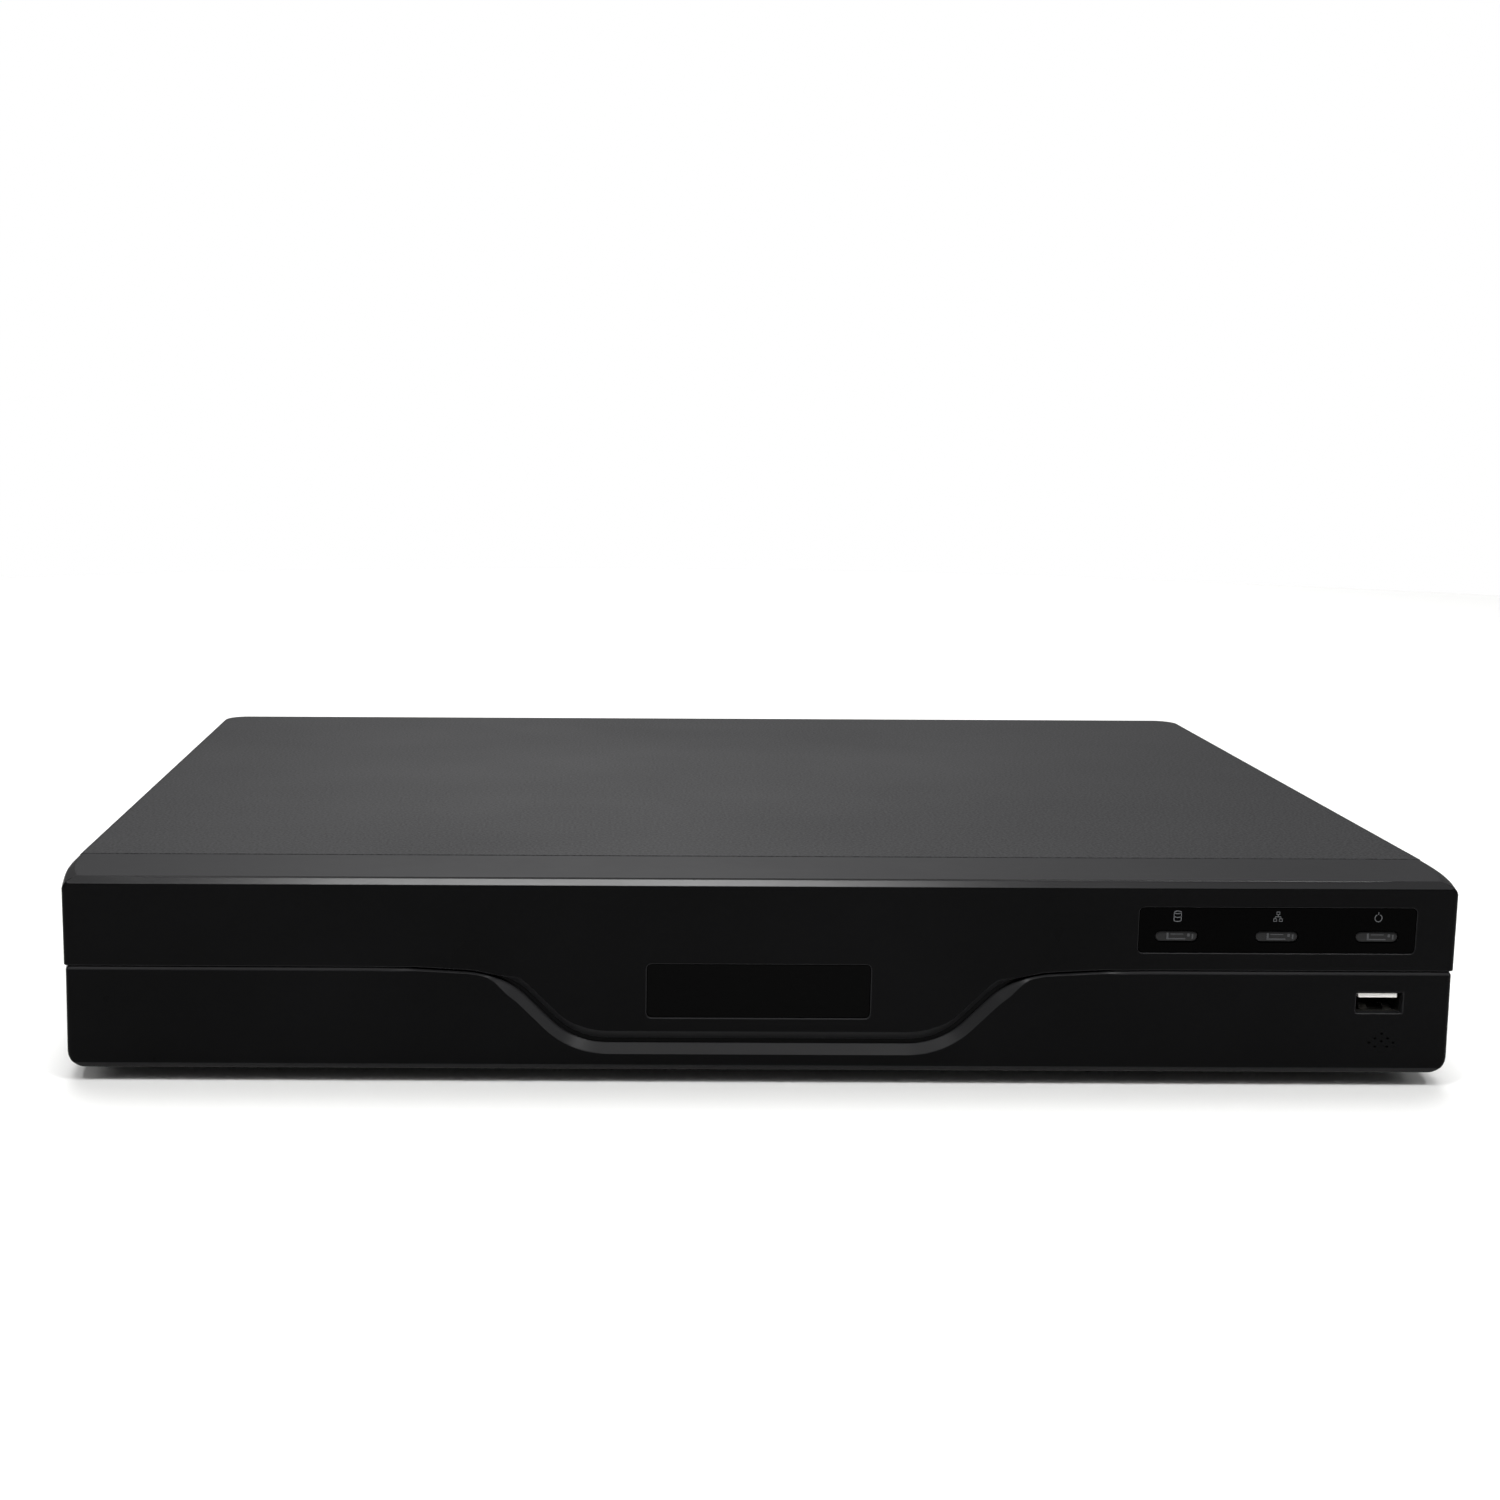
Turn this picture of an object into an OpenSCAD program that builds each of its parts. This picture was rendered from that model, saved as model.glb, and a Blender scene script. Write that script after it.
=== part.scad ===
// Desktop video recorder in a low steel case with a two-piece moulded bezel.
// X runs along the front, Y from the front face to the connectors at the rear, Z up from the table.

/* [Case] */
// Width of the case
case_w = 375; // [370:1:480]
// Depth from the bezel's front face to the cover's rear edge
case_d = 281.5; // [280:0.5:360]
// Height from the table to the top of the cover
case_h = 56; // [56:0.5:80]
// Height of the rubber feet
foot_h = 4.3; // [3.2:0.1:9]
// Radius of a rubber foot
foot_r = 9; // [6:0.5:14]
// Distance of the feet from the case's edges
foot_inset = 22; // [16:1:40]
// Thickness of the cover's sheet
cover_t = 0.8; // [0.6:0.1:1.2]
// Outer radius of the cover's long top bends
cover_bend_r = 1.6; // [1.4:0.1:3]
// Radius of the cover's rear corners
cover_corner_r = 6; // [3:0.5:9]
// Depth of the cover's folded frame around the rear panel
cover_lip = 7; // [5:0.5:8]
// Thickness of the tray's sheet
tray_t = 1; // [0.8:0.1:1.5]
// Height of the tray's side walls
tray_wall_h = 14; // [12:1:20]
// Thickness of the rear panel
panel_t = 1; // [0.8:0.1:2]

/* [Bezel] */
// Depth of the bezel
bezel_d = 32; // [28:0.5:40]
// Wall thickness of the bezel mouldings
bezel_wall = 2.2; // [2:0.1:3]
// How much each side narrows towards the front
side_taper = 2.2; // [0:0.1:4]
// Radius of the bezel's upright front corners
front_corner_r = 1.5; // [1:0.5:6]
// Radius of the bezel's lower end corners
lower_corner_r = 4.5; // [3:0.5:7]
// Depth of the sloping edge along the top of the front
brow_d = 5; // [2:0.5:8]
// Height of that sloping edge
brow_h = 1; // [0.5:0.1:2]
// Size of the bevel along the bottom of the front
sill = 1.4; // [0.5:0.1:2.5]
// Height of the seam between the two mouldings above the bezel's bottom
seam_rise = 28.2; // [24:0.1:34]
// Width of the seam where it runs straight
seam_gap = 0.3; // [0.2:0.05:0.6]
// Height of the dip's floor above the bezel's bottom
dip_rise = 7.2; // [6:0.1:10]
// Half of the flat length of the dip's floor
dip_half = 48.5; // [40:0.5:60]
// Slope of the dip's ends in degrees
dip_angle = 45; // [35:1:60]
// Width of the groove around the dip
dip_gap = 1.5; // [0.8:0.1:2.5]
// Width of the lower moulding's bevel around the dip
dip_bevel = 2.7; // [1:0.1:3.5]
// Depth of the bevels around the dip
dip_bevel_d = 1.6; // [0.8:0.1:1.9]
// Width of the tongue's own bevel
tongue_bevel = 1.8; // [1:0.1:2.5]
// Width of the nameplate
badge_w = 60; // [40:1:70]
// Height of the nameplate
badge_h = 15; // [10:0.5:16]
// Height of the nameplate's centre above the bezel's bottom
badge_rise = 22; // [18:0.5:24]
// Thickness of the nameplate
badge_t = 0.8; // [0.5:0.1:1.2]
// Depth of the nameplate's pocket
badge_pocket = 1.2; // [0.8:0.1:1.6]
// Width of the indicator window
window_w = 73.6; // [60:0.2:90]
// Height of the indicator window
window_h = 12.5; // [10:0.1:16]
// Thickness of the indicator window
window_t = 1.4; // [1:0.1:1.8]
// Corner radius of the window and the nameplate
plate_corner_r = 1.3; // [0.5:0.1:3]
// Gap between the window's end and the case's side
window_inset = 13.5; // [10:0.5:30]
// Distance of the window's centre below the case's top
window_drop = 12.4; // [10:0.1:16]
// Spacing of the indicators
light_pitch = 26.6; // [20:0.1:30]
// Length of an indicator's light pipe
light_w = 11.4; // [6:0.1:14]
// Height of an indicator's light pipe
light_h = 3; // [2:0.1:4]
// How far the light pipes sit below the window's centre
light_drop = 1.7; // [0:0.1:3]
// Distance of the front port's centre from the case's side
port_inset = 21.9; // [18:0.1:30]
// Height of the front port's centre above the bezel's bottom
port_rise = 19.6; // [16:0.1:22]

/* [Boards] */
// Thickness of the circuit boards
board_t = 1.6; // [1:0.1:2]
// Height of the standoffs under the main board
standoff_h = 6; // [5:0.5:8]
// Depth of the main board
board_d = 82; // [78:1:90]
// Distance of the front board behind the front face
front_board_y = 15; // [14:0.5:18]

/* [Rear connectors] */
// Outer radius of a video socket's shell
bnc_r = 4.85; // [4.8:0.05:5]
// Inner radius of a video socket's shell
bnc_bore_r = 4.1; // [3.9:0.05:4.2]
// How far a video socket stands out from the rear panel
bnc_reach = 12; // [10.5:0.5:14]
// Spacing of the video sockets along the panel
bnc_pitch = 18; // [17:0.5:20]
// Number of columns of video sockets
bnc_columns = 4; // [2:1:4]
// Spacing of the two rows of sockets
row_pitch = 19.5; // [18:0.5:20]
// Height of the lower row above the main board
low_row_rise = 7.6; // [7.2:0.1:9]
// Outer radius of an audio socket's shell
rca_r = 4.15; // [4.1:0.05:4.2]
// How far an audio socket stands out from the rear panel
rca_reach = 9; // [8:0.5:11]
// Spacing of the two jack screws
jack_screw_pitch = 24.99; // [24.5:0.01:25.5]
// Number of ways in the terminal block
terminal_ways = 8; // [4:1:8]
// Spacing of the ways
terminal_pitch = 3.81; // [3.5:0.01:3.81]
// Radius of the power socket's bore
dc_bore_r = 2.85; // [2.7:0.05:3]
// Radius of the power socket's pin
dc_pin_r = 1.05; // [1:0.05:1.25]

/* [Fan] */
// Width of the square fan frame
fan_w = 40; // [36:0.5:42]
// Depth of the fan frame
fan_t = 10; // [10:1:15]
// Spacing of the fan's screws
fan_screw_pitch = 32; // [30:0.5:34]
// Number of blades
blades = 7; // [5:1:9]

/* [Hard disk] */
// Width of the hard disk
drive_w = 101.6; // [100:0.1:102]
// Length of the hard disk
drive_l = 147; // [146:0.5:148]
// Height of the hard disk
drive_h = 26.1; // [25:0.1:27]
// Gap between a hard disk and the main board, for its plugs
drive_gap = 6.2; // [5.8:0.1:9]
// Radius of a platter
platter_r = 47.5; // [44:0.5:47.5]
// Length of the head arm
arm_l = 48; // [46:0.5:49]

/* [Fits] */
// Gap between pieces that move past each other
clearance = 0.3; // [0.25:0.05:0.4]
// Radial clearance of a turning shaft
running_fit = 0.05; // [0.02:0.01:0.09]
// Radius of the case's screws
screw_r = 1.5; // [1.2:0.1:1.6]

/* [Hidden] */
$fn = 48;

// Outer pieces
plastic_black = "#1b1b1c";
steel_black = "#3a3a3c";
bare_steel = "#b9bbbd";
board_green = "#1d5a3a";
half_w = case_w / 2;
base_z = foot_h;
tray_top = base_z + tray_t;
roof_z = case_h - cover_t;
panel_y = case_d - cover_t;
inside_y = panel_y - panel_t;
total_d = panel_y + bnc_reach;
cut = 1;
seam_z = base_z + seam_rise;
dip_z = base_z + dip_rise;
wall_in = half_w - cover_t;
side_wall_in = wall_in - tray_t;
panel_half = half_w - cover_corner_r;
rear_edge_half = panel_half - cover_lip;

// Boards
board_z = tray_top + standoff_h;
board_top = board_z + board_t;
board_y1 = inside_y - 0.5;
board_y0 = board_y1 - board_d;
board_x0 = -half_w + 12;
fan_eye_r = 2.6;
fan_half = max(fan_w / 2, fan_screw_pitch / 2 + fan_eye_r);
fan_x = rear_edge_half - fan_half - 1.5;
board_x1 = fan_x - fan_half - 4;

// Places of the rear connectors
low_z = board_top + low_row_rise;
high_z = low_z + row_pitch;
switch_x = board_x1 - 10;
dc_x = board_x1 - 8;
lan_x = dc_x - 23;
usb_x = lan_x - 19;
hdmi_x = usb_x - 24;
terminal_w = terminal_ways * terminal_pitch;
terminal_x = hdmi_x - 18 - terminal_w / 2;
rca_pitch = 18;
rca_x = terminal_x - terminal_w / 2 - 14;
bnc_x = rca_x - rca_pitch - 30;
vga_x = hdmi_x;
vga_z = high_z;
ground_x = switch_x - 19;
fan_z = tray_top + fan_half + 0.4;

function bnc_places() = [
    for (column = [0 : bnc_columns - 1], z = [low_z, high_z]) [bnc_x - column * bnc_pitch, z]
];
function rca_places() = [
    for (column = [0 : 1], z = [low_z, high_z]) [rca_x - column * rca_pitch, z]
];

// Moves the case, drawn with its front face at Y 0, to the middle of its own depth.
module in_row_frame() {
    translate([0, -total_d / 2, 0]) children();
}

// A box between two opposite corners.
module block(low, high) {
    translate(low) cube(high - low);
}

// Turns a shape drawn flat, with its thickness upwards, to stand with its thickness to the rear.
module facing_rear(at) {
    translate(at) rotate([-90, 0, 0]) children();
}

// A flat outline with round corners, centred.
module round_rect(w, h, r) {
    square([w - 2 * r, h], center = true);
    square([w, h - 2 * r], center = true);
    for (x = [-1, 1], y = [-1, 1]) translate([x * (w / 2 - r), y * (h / 2 - r)]) circle(r);
}

// A slot outline with round ends, centred and lying along X.
module slot_shape(w, h) {
    square([w - h, h], center = true);
    for (x = [-1, 1]) translate([x * (w - h) / 2, 0]) circle(h / 2);
}

// A panel screw with a cross recess, its head's underside at Z 0 and its shank below.
module pan_screw(head_r, head_h, shank_r, shank_l) {
    recess = head_r * 0.9;
    slit = 0.6;
    difference() {
        cylinder(r = head_r, h = head_h);
        for (turn = [0, 90]) rotate(turn) translate([0, 0, head_h])
            cube([recess, slit, head_h], center = true);
    }
    translate([0, 0, -shank_l]) cylinder(r = shank_r, h = shank_l);
}

// ---- Cover ----

vent_rows = 3;
vent_columns = 9;
vent_l = 12;
vent_h = 2.4;
vent_pitch_x = 17;
vent_pitch_z = 7;
side_screw_z = base_z + 8;
side_screw_y = [bezel_d + 28, case_d - 40];
rear_screw_z = case_h - cover_lip / 2;
rear_screw_x = [-half_w + 50, 0, half_w - 50];

module cover_form(inset) {
    bend = cover_bend_r - inset;
    corner = cover_corner_r - inset;
    w = case_w - 2 * inset;
    intersection() {
        translate([0, case_d + cut, 0]) rotate([90, 0, 0]) linear_extrude(case_d + 2 * cut) {
            translate([-w / 2 + bend, -cut]) square([w - 2 * bend, case_h - inset + cut]);
            translate([-w / 2, -cut]) square([w, case_h - inset - bend + cut]);
            for (x = [-1, 1]) translate([x * (w / 2 - bend), case_h - inset - bend]) circle(bend);
        }
        translate([0, 0, -2 * cut]) linear_extrude(case_h + 4 * cut) {
            translate([-w / 2, -cut]) square([w, case_d - inset - corner + cut]);
            translate([-w / 2 + corner, -cut]) square([w - 2 * corner, case_d - inset + cut]);
            for (x = [-1, 1]) translate([x * (w / 2 - corner), case_d - inset - corner]) circle(corner);
        }
    }
}

module cover_vents() {
    start = (bezel_d + case_d - (vent_columns - 1) * vent_pitch_x) / 2;
    middle = (side_screw_z + case_h) / 2;
    for (row = [0 : vent_rows - 1], column = [0 : vent_columns - 1]) {
        y = start + column * vent_pitch_x;
        z = middle + (row - (vent_rows - 1) / 2) * vent_pitch_z;
        translate([-half_w - cut, y, z]) rotate([90, 0, 90]) linear_extrude(case_w + 2 * cut)
            slot_shape(vent_l, vent_h);
    }
}

module top_cover() color(steel_black) in_row_frame() {
    difference() {
        cover_form(0);
        cover_form(cover_t);
        block([-half_w - cut, -3 * cut, -3 * cut], [half_w + cut, bezel_d + seam_gap, case_h + cut]);
        block([-half_w - cut, 0, -3 * cut], [half_w + cut, case_d + cut, base_z]);
        block([-rear_edge_half, panel_y - cut, 0], [rear_edge_half, case_d + cut, case_h - cover_lip]);
        cover_vents();
        for (y = side_screw_y) translate([-half_w - cut, y, side_screw_z]) rotate([0, 90, 0])
            cylinder(r = screw_r + 0.1, h = case_w + 2 * cut);
        for (x = rear_screw_x) facing_rear([x, panel_y - cut, rear_screw_z])
            cylinder(r = screw_r + 0.1, h = cover_t + 2 * cut);
    }
}

module cover_screws() color(bare_steel) in_row_frame() {
    side_l = cover_t + tray_t + 2;
    rear_l = cover_t + panel_t + 3;
    for (y = side_screw_y, side = [-1, 1]) translate([side * half_w, y, side_screw_z])
        rotate([0, side * 90, 0]) pan_screw(2.8, 1.3, screw_r, side_l);
    for (x = rear_screw_x) facing_rear([x, case_d, rear_screw_z]) pan_screw(2.8, 1.6, screw_r, rear_l);
}

// ---- Tray, rear panel and feet ----

bay_x = [-half_w + 24 + drive_w / 2, -half_w + 34 + drive_w * 1.5];
drive_y = board_y0 - drive_gap - drive_l;
drive_boss_h = 3;
drive_z = tray_top + drive_boss_h;
drive_screw_r = 1.6;
drive_screw_half = 47.6;
drive_screw_y = [41.3, 117.5];
clip_x = [-half_w + 30, -70, 70, half_w - 60];
clip_w = 12;
clip_z = base_z + 26;
cable_gate_x = half_w - 80;
cable_gate_w = 22;
cable_gate_h = 14;
foot_places = [
    for (x = [-1, 1], y = [bezel_d + foot_inset, case_d - foot_inset]) [x * (half_w - foot_inset), y]
];

module base_tray() color(bare_steel) in_row_frame() {
    difference() {
        union() {
            block([-wall_in, bezel_d, base_z], [wall_in, case_d - cover_corner_r, tray_top]);
            block([-panel_half, bezel_d, base_z], [panel_half, inside_y, tray_top]);
            block([-wall_in, bezel_d, base_z], [wall_in, bezel_d + tray_t, roof_z - cover_bend_r]);
            for (side = [-1, 1]) {
                inner = side * side_wall_in;
                outer = side * wall_in;
                block(
                    [min(inner, outer), bezel_d, base_z],
                    [max(inner, outer), case_d - cover_corner_r, base_z + tray_wall_h]
                );
            }
            for (bay = bay_x, x = [-1, 1], y = drive_screw_y)
                translate([bay + x * drive_screw_half, drive_y + y, tray_top])
                    cylinder(r = 4.5, h = drive_boss_h);
        }
        for (bay = bay_x, x = [-1, 1], y = drive_screw_y)
            translate([bay + x * drive_screw_half, drive_y + y, 0])
                cylinder(r = drive_screw_r + 0.2, h = case_h);
        for (y = side_screw_y) translate([-half_w, y, side_screw_z]) rotate([0, 90, 0])
            cylinder(r = screw_r, h = case_w);
        for (x = clip_x) block(
            [x - clip_w / 2 - clearance, bezel_d - cut, clip_z - clearance],
            [x + clip_w / 2 + clearance, bezel_d + tray_t + cut, clip_z + bezel_wall + clearance]
        );
        block(
            [cable_gate_x - cable_gate_w / 2, bezel_d - cut, tray_top + 2],
            [cable_gate_x + cable_gate_w / 2, bezel_d + tray_t + cut, tray_top + 2 + cable_gate_h]
        );
        for (at = standoff_places) translate([at.x, at.y, 0]) cylinder(r = screw_r, h = case_h);
        for (i = [0 : 11]) translate([half_w - 110 + i * 7, bezel_d + 60, base_z - cut])
            linear_extrude(tray_t + 2 * cut) rotate(90) slot_shape(24, 2.6);
    }
}

module panel_holes() {
    deep = panel_t + 2 * cut;
    y = inside_y - cut;
    for (at = bnc_places()) facing_rear([at.x, y, at.y]) cylinder(r = bnc_collar_r + 0.2, h = deep);
    for (at = rca_places()) facing_rear([at.x, y, at.y]) cylinder(r = rca_collar_r + 0.2, h = deep);
    facing_rear([vga_x, y, vga_z]) linear_extrude(deep) round_rect(vga_shell_w + 1.4, vga_shell_h + 1.4, 1);
    for (side = [-1, 1]) facing_rear([vga_x + side * jack_screw_pitch / 2, y, vga_z])
        cylinder(r = screw_r + 0.2, h = deep);
    facing_rear([hdmi_x, y, hdmi_z]) linear_extrude(deep) round_rect(hdmi_w + 0.8, hdmi_h + 0.8, 0.5);
    facing_rear([lan_x, y, lan_z]) linear_extrude(deep) square([lan_w + 0.6, lan_h + 0.6], center = true);
    facing_rear([usb_x, y, usb_z]) linear_extrude(deep)
        square([usb_w + 0.6, usb_stack_h + 0.6], center = true);
    facing_rear([terminal_x, y, terminal_z]) linear_extrude(deep)
        square([terminal_out_w + 0.4, terminal_h + 0.4], center = true);
    facing_rear([dc_x, y, dc_z]) cylinder(r = dc_nose_r + 0.2, h = deep);
    facing_rear([switch_x, y, switch_z]) linear_extrude(deep)
        square([switch_body_w + 0.2, switch_body_h + 0.2], center = true);
    facing_rear([ground_x, y, ground_z]) cylinder(r = screw_r, h = deep);
    facing_rear([fan_x, y, fan_z]) cylinder(r = fan_bore_r, h = deep);
    for (x = [-1, 1], z = [-1, 1])
        facing_rear([fan_x + x * fan_screw_pitch / 2, y, fan_z + z * fan_screw_pitch / 2])
            cylinder(r = screw_r + 0.2, h = deep);
    for (x = rear_screw_x) facing_rear([x, y, rear_screw_z]) cylinder(r = screw_r, h = deep);
    for (column = [0 : 5], row = [0 : 2])
        facing_rear([-half_w + 24 + column * 7, y, tray_top + 12 + row * 14])
            linear_extrude(deep) rotate(90) slot_shape(11, 2.4);
}

module rear_panel() color(steel_black) in_row_frame() {
    difference() {
        union() {
            block([-panel_half, inside_y, base_z], [panel_half, panel_y, roof_z]);
            for (side = [-1, 1]) {
                inner = side * (panel_half - panel_t);
                outer = side * panel_half;
                block(
                    [min(inner, outer), inside_y - 9, tray_top],
                    [max(inner, outer), inside_y, roof_z - 4]
                );
            }
        }
        panel_holes();
    }
}

module rubber_feet() color("#161616") in_row_frame() {
    edge = 1;
    for (at = foot_places) translate([at.x, at.y, 0]) difference() {
        union() {
            cylinder(r1 = foot_r - edge, r2 = foot_r, h = edge);
            translate([0, 0, edge]) cylinder(r = foot_r, h = foot_h - edge);
        }
        translate([0, 0, -cut]) cylinder(r = foot_r / 3, h = foot_h * 0.6 + cut);
    }
}

// ---- Bezel ----

arc_steps = 8;

// Points of a quarter round about a centre, starting at an angle.
function quarter(centre, r, from) = [
    for (i = [0 : arc_steps]) centre + r * [cos(from + i * 90 / arc_steps), sin(from + i * 90 / arc_steps)]
];
function mirrored(points) = [for (i = [len(points) - 1 : -1 : 0]) [-points[i].x, points[i].y]];

// The bezel seen from above, from its right rear corner round to its left rear corner.
module bezel_plan(inset) {
    r = max(0.2, front_corner_r - inset);
    corner = quarter([half_w - side_taper - inset - r, inset + r], r, -90);
    side = concat(corner, [[half_w - inset, bezel_d], [half_w - inset, bezel_d + cut]]);
    polygon(concat(mirrored(side), side));
}

// The bezel seen from the front.
module bezel_front(inset) {
    w = half_w - inset;
    low = quarter([w - lower_corner_r, base_z + inset + lower_corner_r], lower_corner_r, -90);
    high = quarter([w - cover_bend_r, case_h - inset - cover_bend_r], cover_bend_r, 0);
    side = concat(low, high);
    polygon(concat(mirrored(side), side));
}

// The bezel's own section, from front to rear.
module bezel_side(inset) {
    low = base_z + inset;
    high = case_h - inset;
    polygon([
        [inset, low + sill], [inset + sill, low], [bezel_d + cut, low],
        [bezel_d + cut, high], [inset + brow_d, high], [inset, high - brow_h]
    ]);
}

module bezel_form(inset, rear) {
    intersection() {
        linear_extrude(case_h + cut) bezel_plan(inset);
        translate([0, rear, 0]) rotate([90, 0, 0]) linear_extrude(rear + cut) bezel_front(inset);
        translate([-half_w, 0, 0]) rotate([90, 0, 90]) linear_extrude(case_w) bezel_side(inset);
    }
}

module bezel_shell() {
    difference() {
        bezel_form(0, bezel_d);
        bezel_form(bezel_wall, bezel_d + cut);
    }
}

// Outline of the dip, grown outwards by a distance. A negative distance shrinks it.
module dip_outline(grow, top) {
    foot = dip_half + grow * (1 / sin(dip_angle) - 1 / tan(dip_angle));
    reach = dip_half + (top - dip_z) / tan(dip_angle) + grow / sin(dip_angle);
    polygon([[-reach, top], [-foot, dip_z - grow], [foot, dip_z - grow], [reach, top]]);
}

// A slice of the dip, standing upright between two depths.
module dip_slice(grow, top, y, thick) {
    translate([0, y + thick, 0]) rotate([90, 0, 0]) linear_extrude(thick) dip_outline(grow, top);
}

// The dip flares towards the front, which leaves a bevel along its edge.
module dip_flare(front_grow, rear_grow, top, depth, front) {
    film = 0.01;
    hull() {
        dip_slice(front_grow, top, front, film);
        dip_slice(rear_grow, top, depth, film);
    }
}

shoulder_half = 80;
shoulder_drop = 1.6;
shelf_half = 98;
shelf_drop = 0.5;
lip_w = 3;
window_x = half_w - window_inset - window_w / 2;
window_z = case_h - window_drop;
window_back = 0.2;
light_z = window_z - light_drop;
port_x = half_w - port_inset;
port_z = base_z + port_rise;
usb_w = 13.1;
usb_h = 5.8;
usb_skin = 0.35;
port_open_w = 12.4;
port_open_h = 5.6;
boss_r = 2.6;
front_board_half = 43;
boss_places = [
    for (x = [-1, 1]) [window_x + x * (front_board_half - 4), base_z + 31]
];
function light_places() = [for (i = [-1 : 1]) window_x + i * light_pitch];

module bezel_upper() color(plastic_black) in_row_frame() {
    difference() {
        union() {
            intersection() {
                bezel_shell();
                block([-half_w, -cut, seam_z + seam_gap / 2], [half_w, bezel_d, case_h]);
            }
            dip_flare(-dip_gap - tongue_bevel, -dip_gap, seam_z + 1, dip_bevel_d, 0);
            dip_slice(-dip_gap, seam_z + 1, dip_bevel_d, bezel_wall - dip_bevel_d);
            // Lip behind the lower moulding, which closes the groove
            dip_slice(lip_w, seam_z + 1, bezel_wall, 1.4);
            for (side = [-1, 1]) {
                near = side * dip_half;
                far = side * (half_w - side_taper - max(front_corner_r, bezel_wall) - 3);
                block(
                    [min(near, far), bezel_wall, seam_z - lip_w],
                    [max(near, far), bezel_wall + 1.4, seam_z + 2]
                );
            }
            for (at = boss_places) facing_rear([at.x, bezel_wall, at.y])
                cylinder(r = boss_r, h = front_board_y - bezel_wall);
            for (x = clip_x) {
                block(
                    [x - clip_w / 2, bezel_wall + 1, clip_z],
                    [x + clip_w / 2, bezel_d + tray_t + 0.6, clip_z + bezel_wall]
                );
                block(
                    [x - clip_w / 2, bezel_wall, clip_z],
                    [x + clip_w / 2, bezel_wall + 2, seam_z + 3]
                );
            }
        }
        facing_rear([0, -cut, base_z + badge_rise])
            linear_extrude(badge_pocket + cut) round_rect(badge_w, badge_h, plate_corner_r);
        facing_rear([window_x, -cut, window_z])
            linear_extrude(window_t + window_back + cut) round_rect(window_w, window_h, plate_corner_r);
        for (x = light_places()) facing_rear([x, -cut, light_z])
            linear_extrude(bezel_wall + 3) slot_shape(light_w, light_h);
        for (at = boss_places) facing_rear([at.x, bezel_wall + 3, at.y]) cylinder(r = 1, h = bezel_d);
    }
}

module bezel_lower() color("#161617") in_row_frame() {
    bevel = 0.9;
    difference() {
        intersection() {
            bezel_shell();
            block([-half_w, -cut, base_z], [half_w, bezel_d, seam_z - seam_gap / 2]);
        }
        dip_flare(dip_bevel, 0, seam_z + 1, dip_bevel_d, -0.01);
        dip_slice(0, seam_z + 1, dip_bevel_d, bezel_wall);
        // The seam steps down beside the dip
        block([-shoulder_half, -cut, seam_z - shoulder_drop], [shoulder_half, bezel_wall + 0.01, seam_z]);
        block([-shelf_half, -cut, seam_z - shelf_drop], [shelf_half, bezel_wall + 0.01, seam_z]);
        // Small bevel along the straight seam
        for (side = [-1, 1]) {
            near = side * shelf_half;
            far = side * (half_w - side_taper);
            translate([min(near, far), 0, seam_z - seam_gap / 2 - bevel]) rotate([45, 0, 0])
                translate([0, -bevel, 0]) cube([abs(far - near), bevel, 2 * bevel]);
        }
        facing_rear([port_x, -cut, port_z]) linear_extrude(bezel_wall + 2 * cut)
            square([port_open_w, port_open_h], center = true);
    }
}

module badge_plate() color("#2b2b2d") in_row_frame() {
    facing_rear([0, badge_pocket - badge_t, base_z + badge_rise])
        linear_extrude(badge_t) round_rect(badge_w - 0.2, badge_h - 0.2, plate_corner_r - 0.1);
}

module led_window() color("#0a0a0c") in_row_frame() {
    difference() {
        facing_rear([window_x, window_back, window_z]) linear_extrude(window_t)
            round_rect(window_w - 0.2, window_h - 0.2, plate_corner_r - 0.1);
        for (x = light_places()) facing_rear([x, -cut, light_z])
            linear_extrude(bezel_d) slot_shape(light_w, light_h);
    }
}

module light_pipes() color([0.75, 0.77, 0.8, 0.6]) in_row_frame() {
    front = window_back + 0.2;
    stem_h = 2;
    for (x = light_places()) {
        facing_rear([x, front, light_z]) linear_extrude(bezel_wall - front)
            slot_shape(light_w - 0.1, light_h - 0.1);
        facing_rear([x, bezel_wall, light_z]) linear_extrude(1) slot_shape(light_w + 2, light_h + 2);
        facing_rear([x, bezel_wall + 1, light_z])
            linear_extrude(front_board_y - bezel_wall - 1 - led_h - clearance)
                slot_shape(light_w - 4, stem_h);
    }
}

// ---- Front board ----

led_h = 1.1;
front_board_z0 = base_z + 7;
front_board_z1 = case_h - bezel_wall - 2;

module front_board() color(board_green) in_row_frame() {
    difference() {
        block(
            [window_x - front_board_half, front_board_y, front_board_z0],
            [min(window_x + front_board_half, half_w - bezel_wall - side_taper - 1),
                front_board_y + board_t, front_board_z1]
        );
        for (at = boss_places) facing_rear([at.x, front_board_y - cut, at.y])
            cylinder(r = 1.2, h = 2 * board_t + cut);
        // Notch for the bezel's clip
        for (x = clip_x) block(
            [x - clip_w / 2 - clearance, front_board_y - cut, clip_z - clearance],
            [x + clip_w / 2 + clearance, front_board_y + board_t + cut, clip_z + bezel_wall + clearance]
        );
    }
}

module led_chips() color("#e8e8d8") in_row_frame() {
    for (x = light_places()) block(
        [x - 1.6, front_board_y - led_h, light_z - 1.4],
        [x + 1.6, front_board_y, light_z + 1.4]
    );
}

// A metal port shell, open to the rear of its own drawing, with its wall all round.
module port_shell(w, h, skin, depth) {
    difference() {
        linear_extrude(depth) round_rect(w, h, 0.8);
        translate([0, 0, skin]) linear_extrude(depth) round_rect(w - 2 * skin, h - 2 * skin, 0.5);
    }
}

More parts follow.
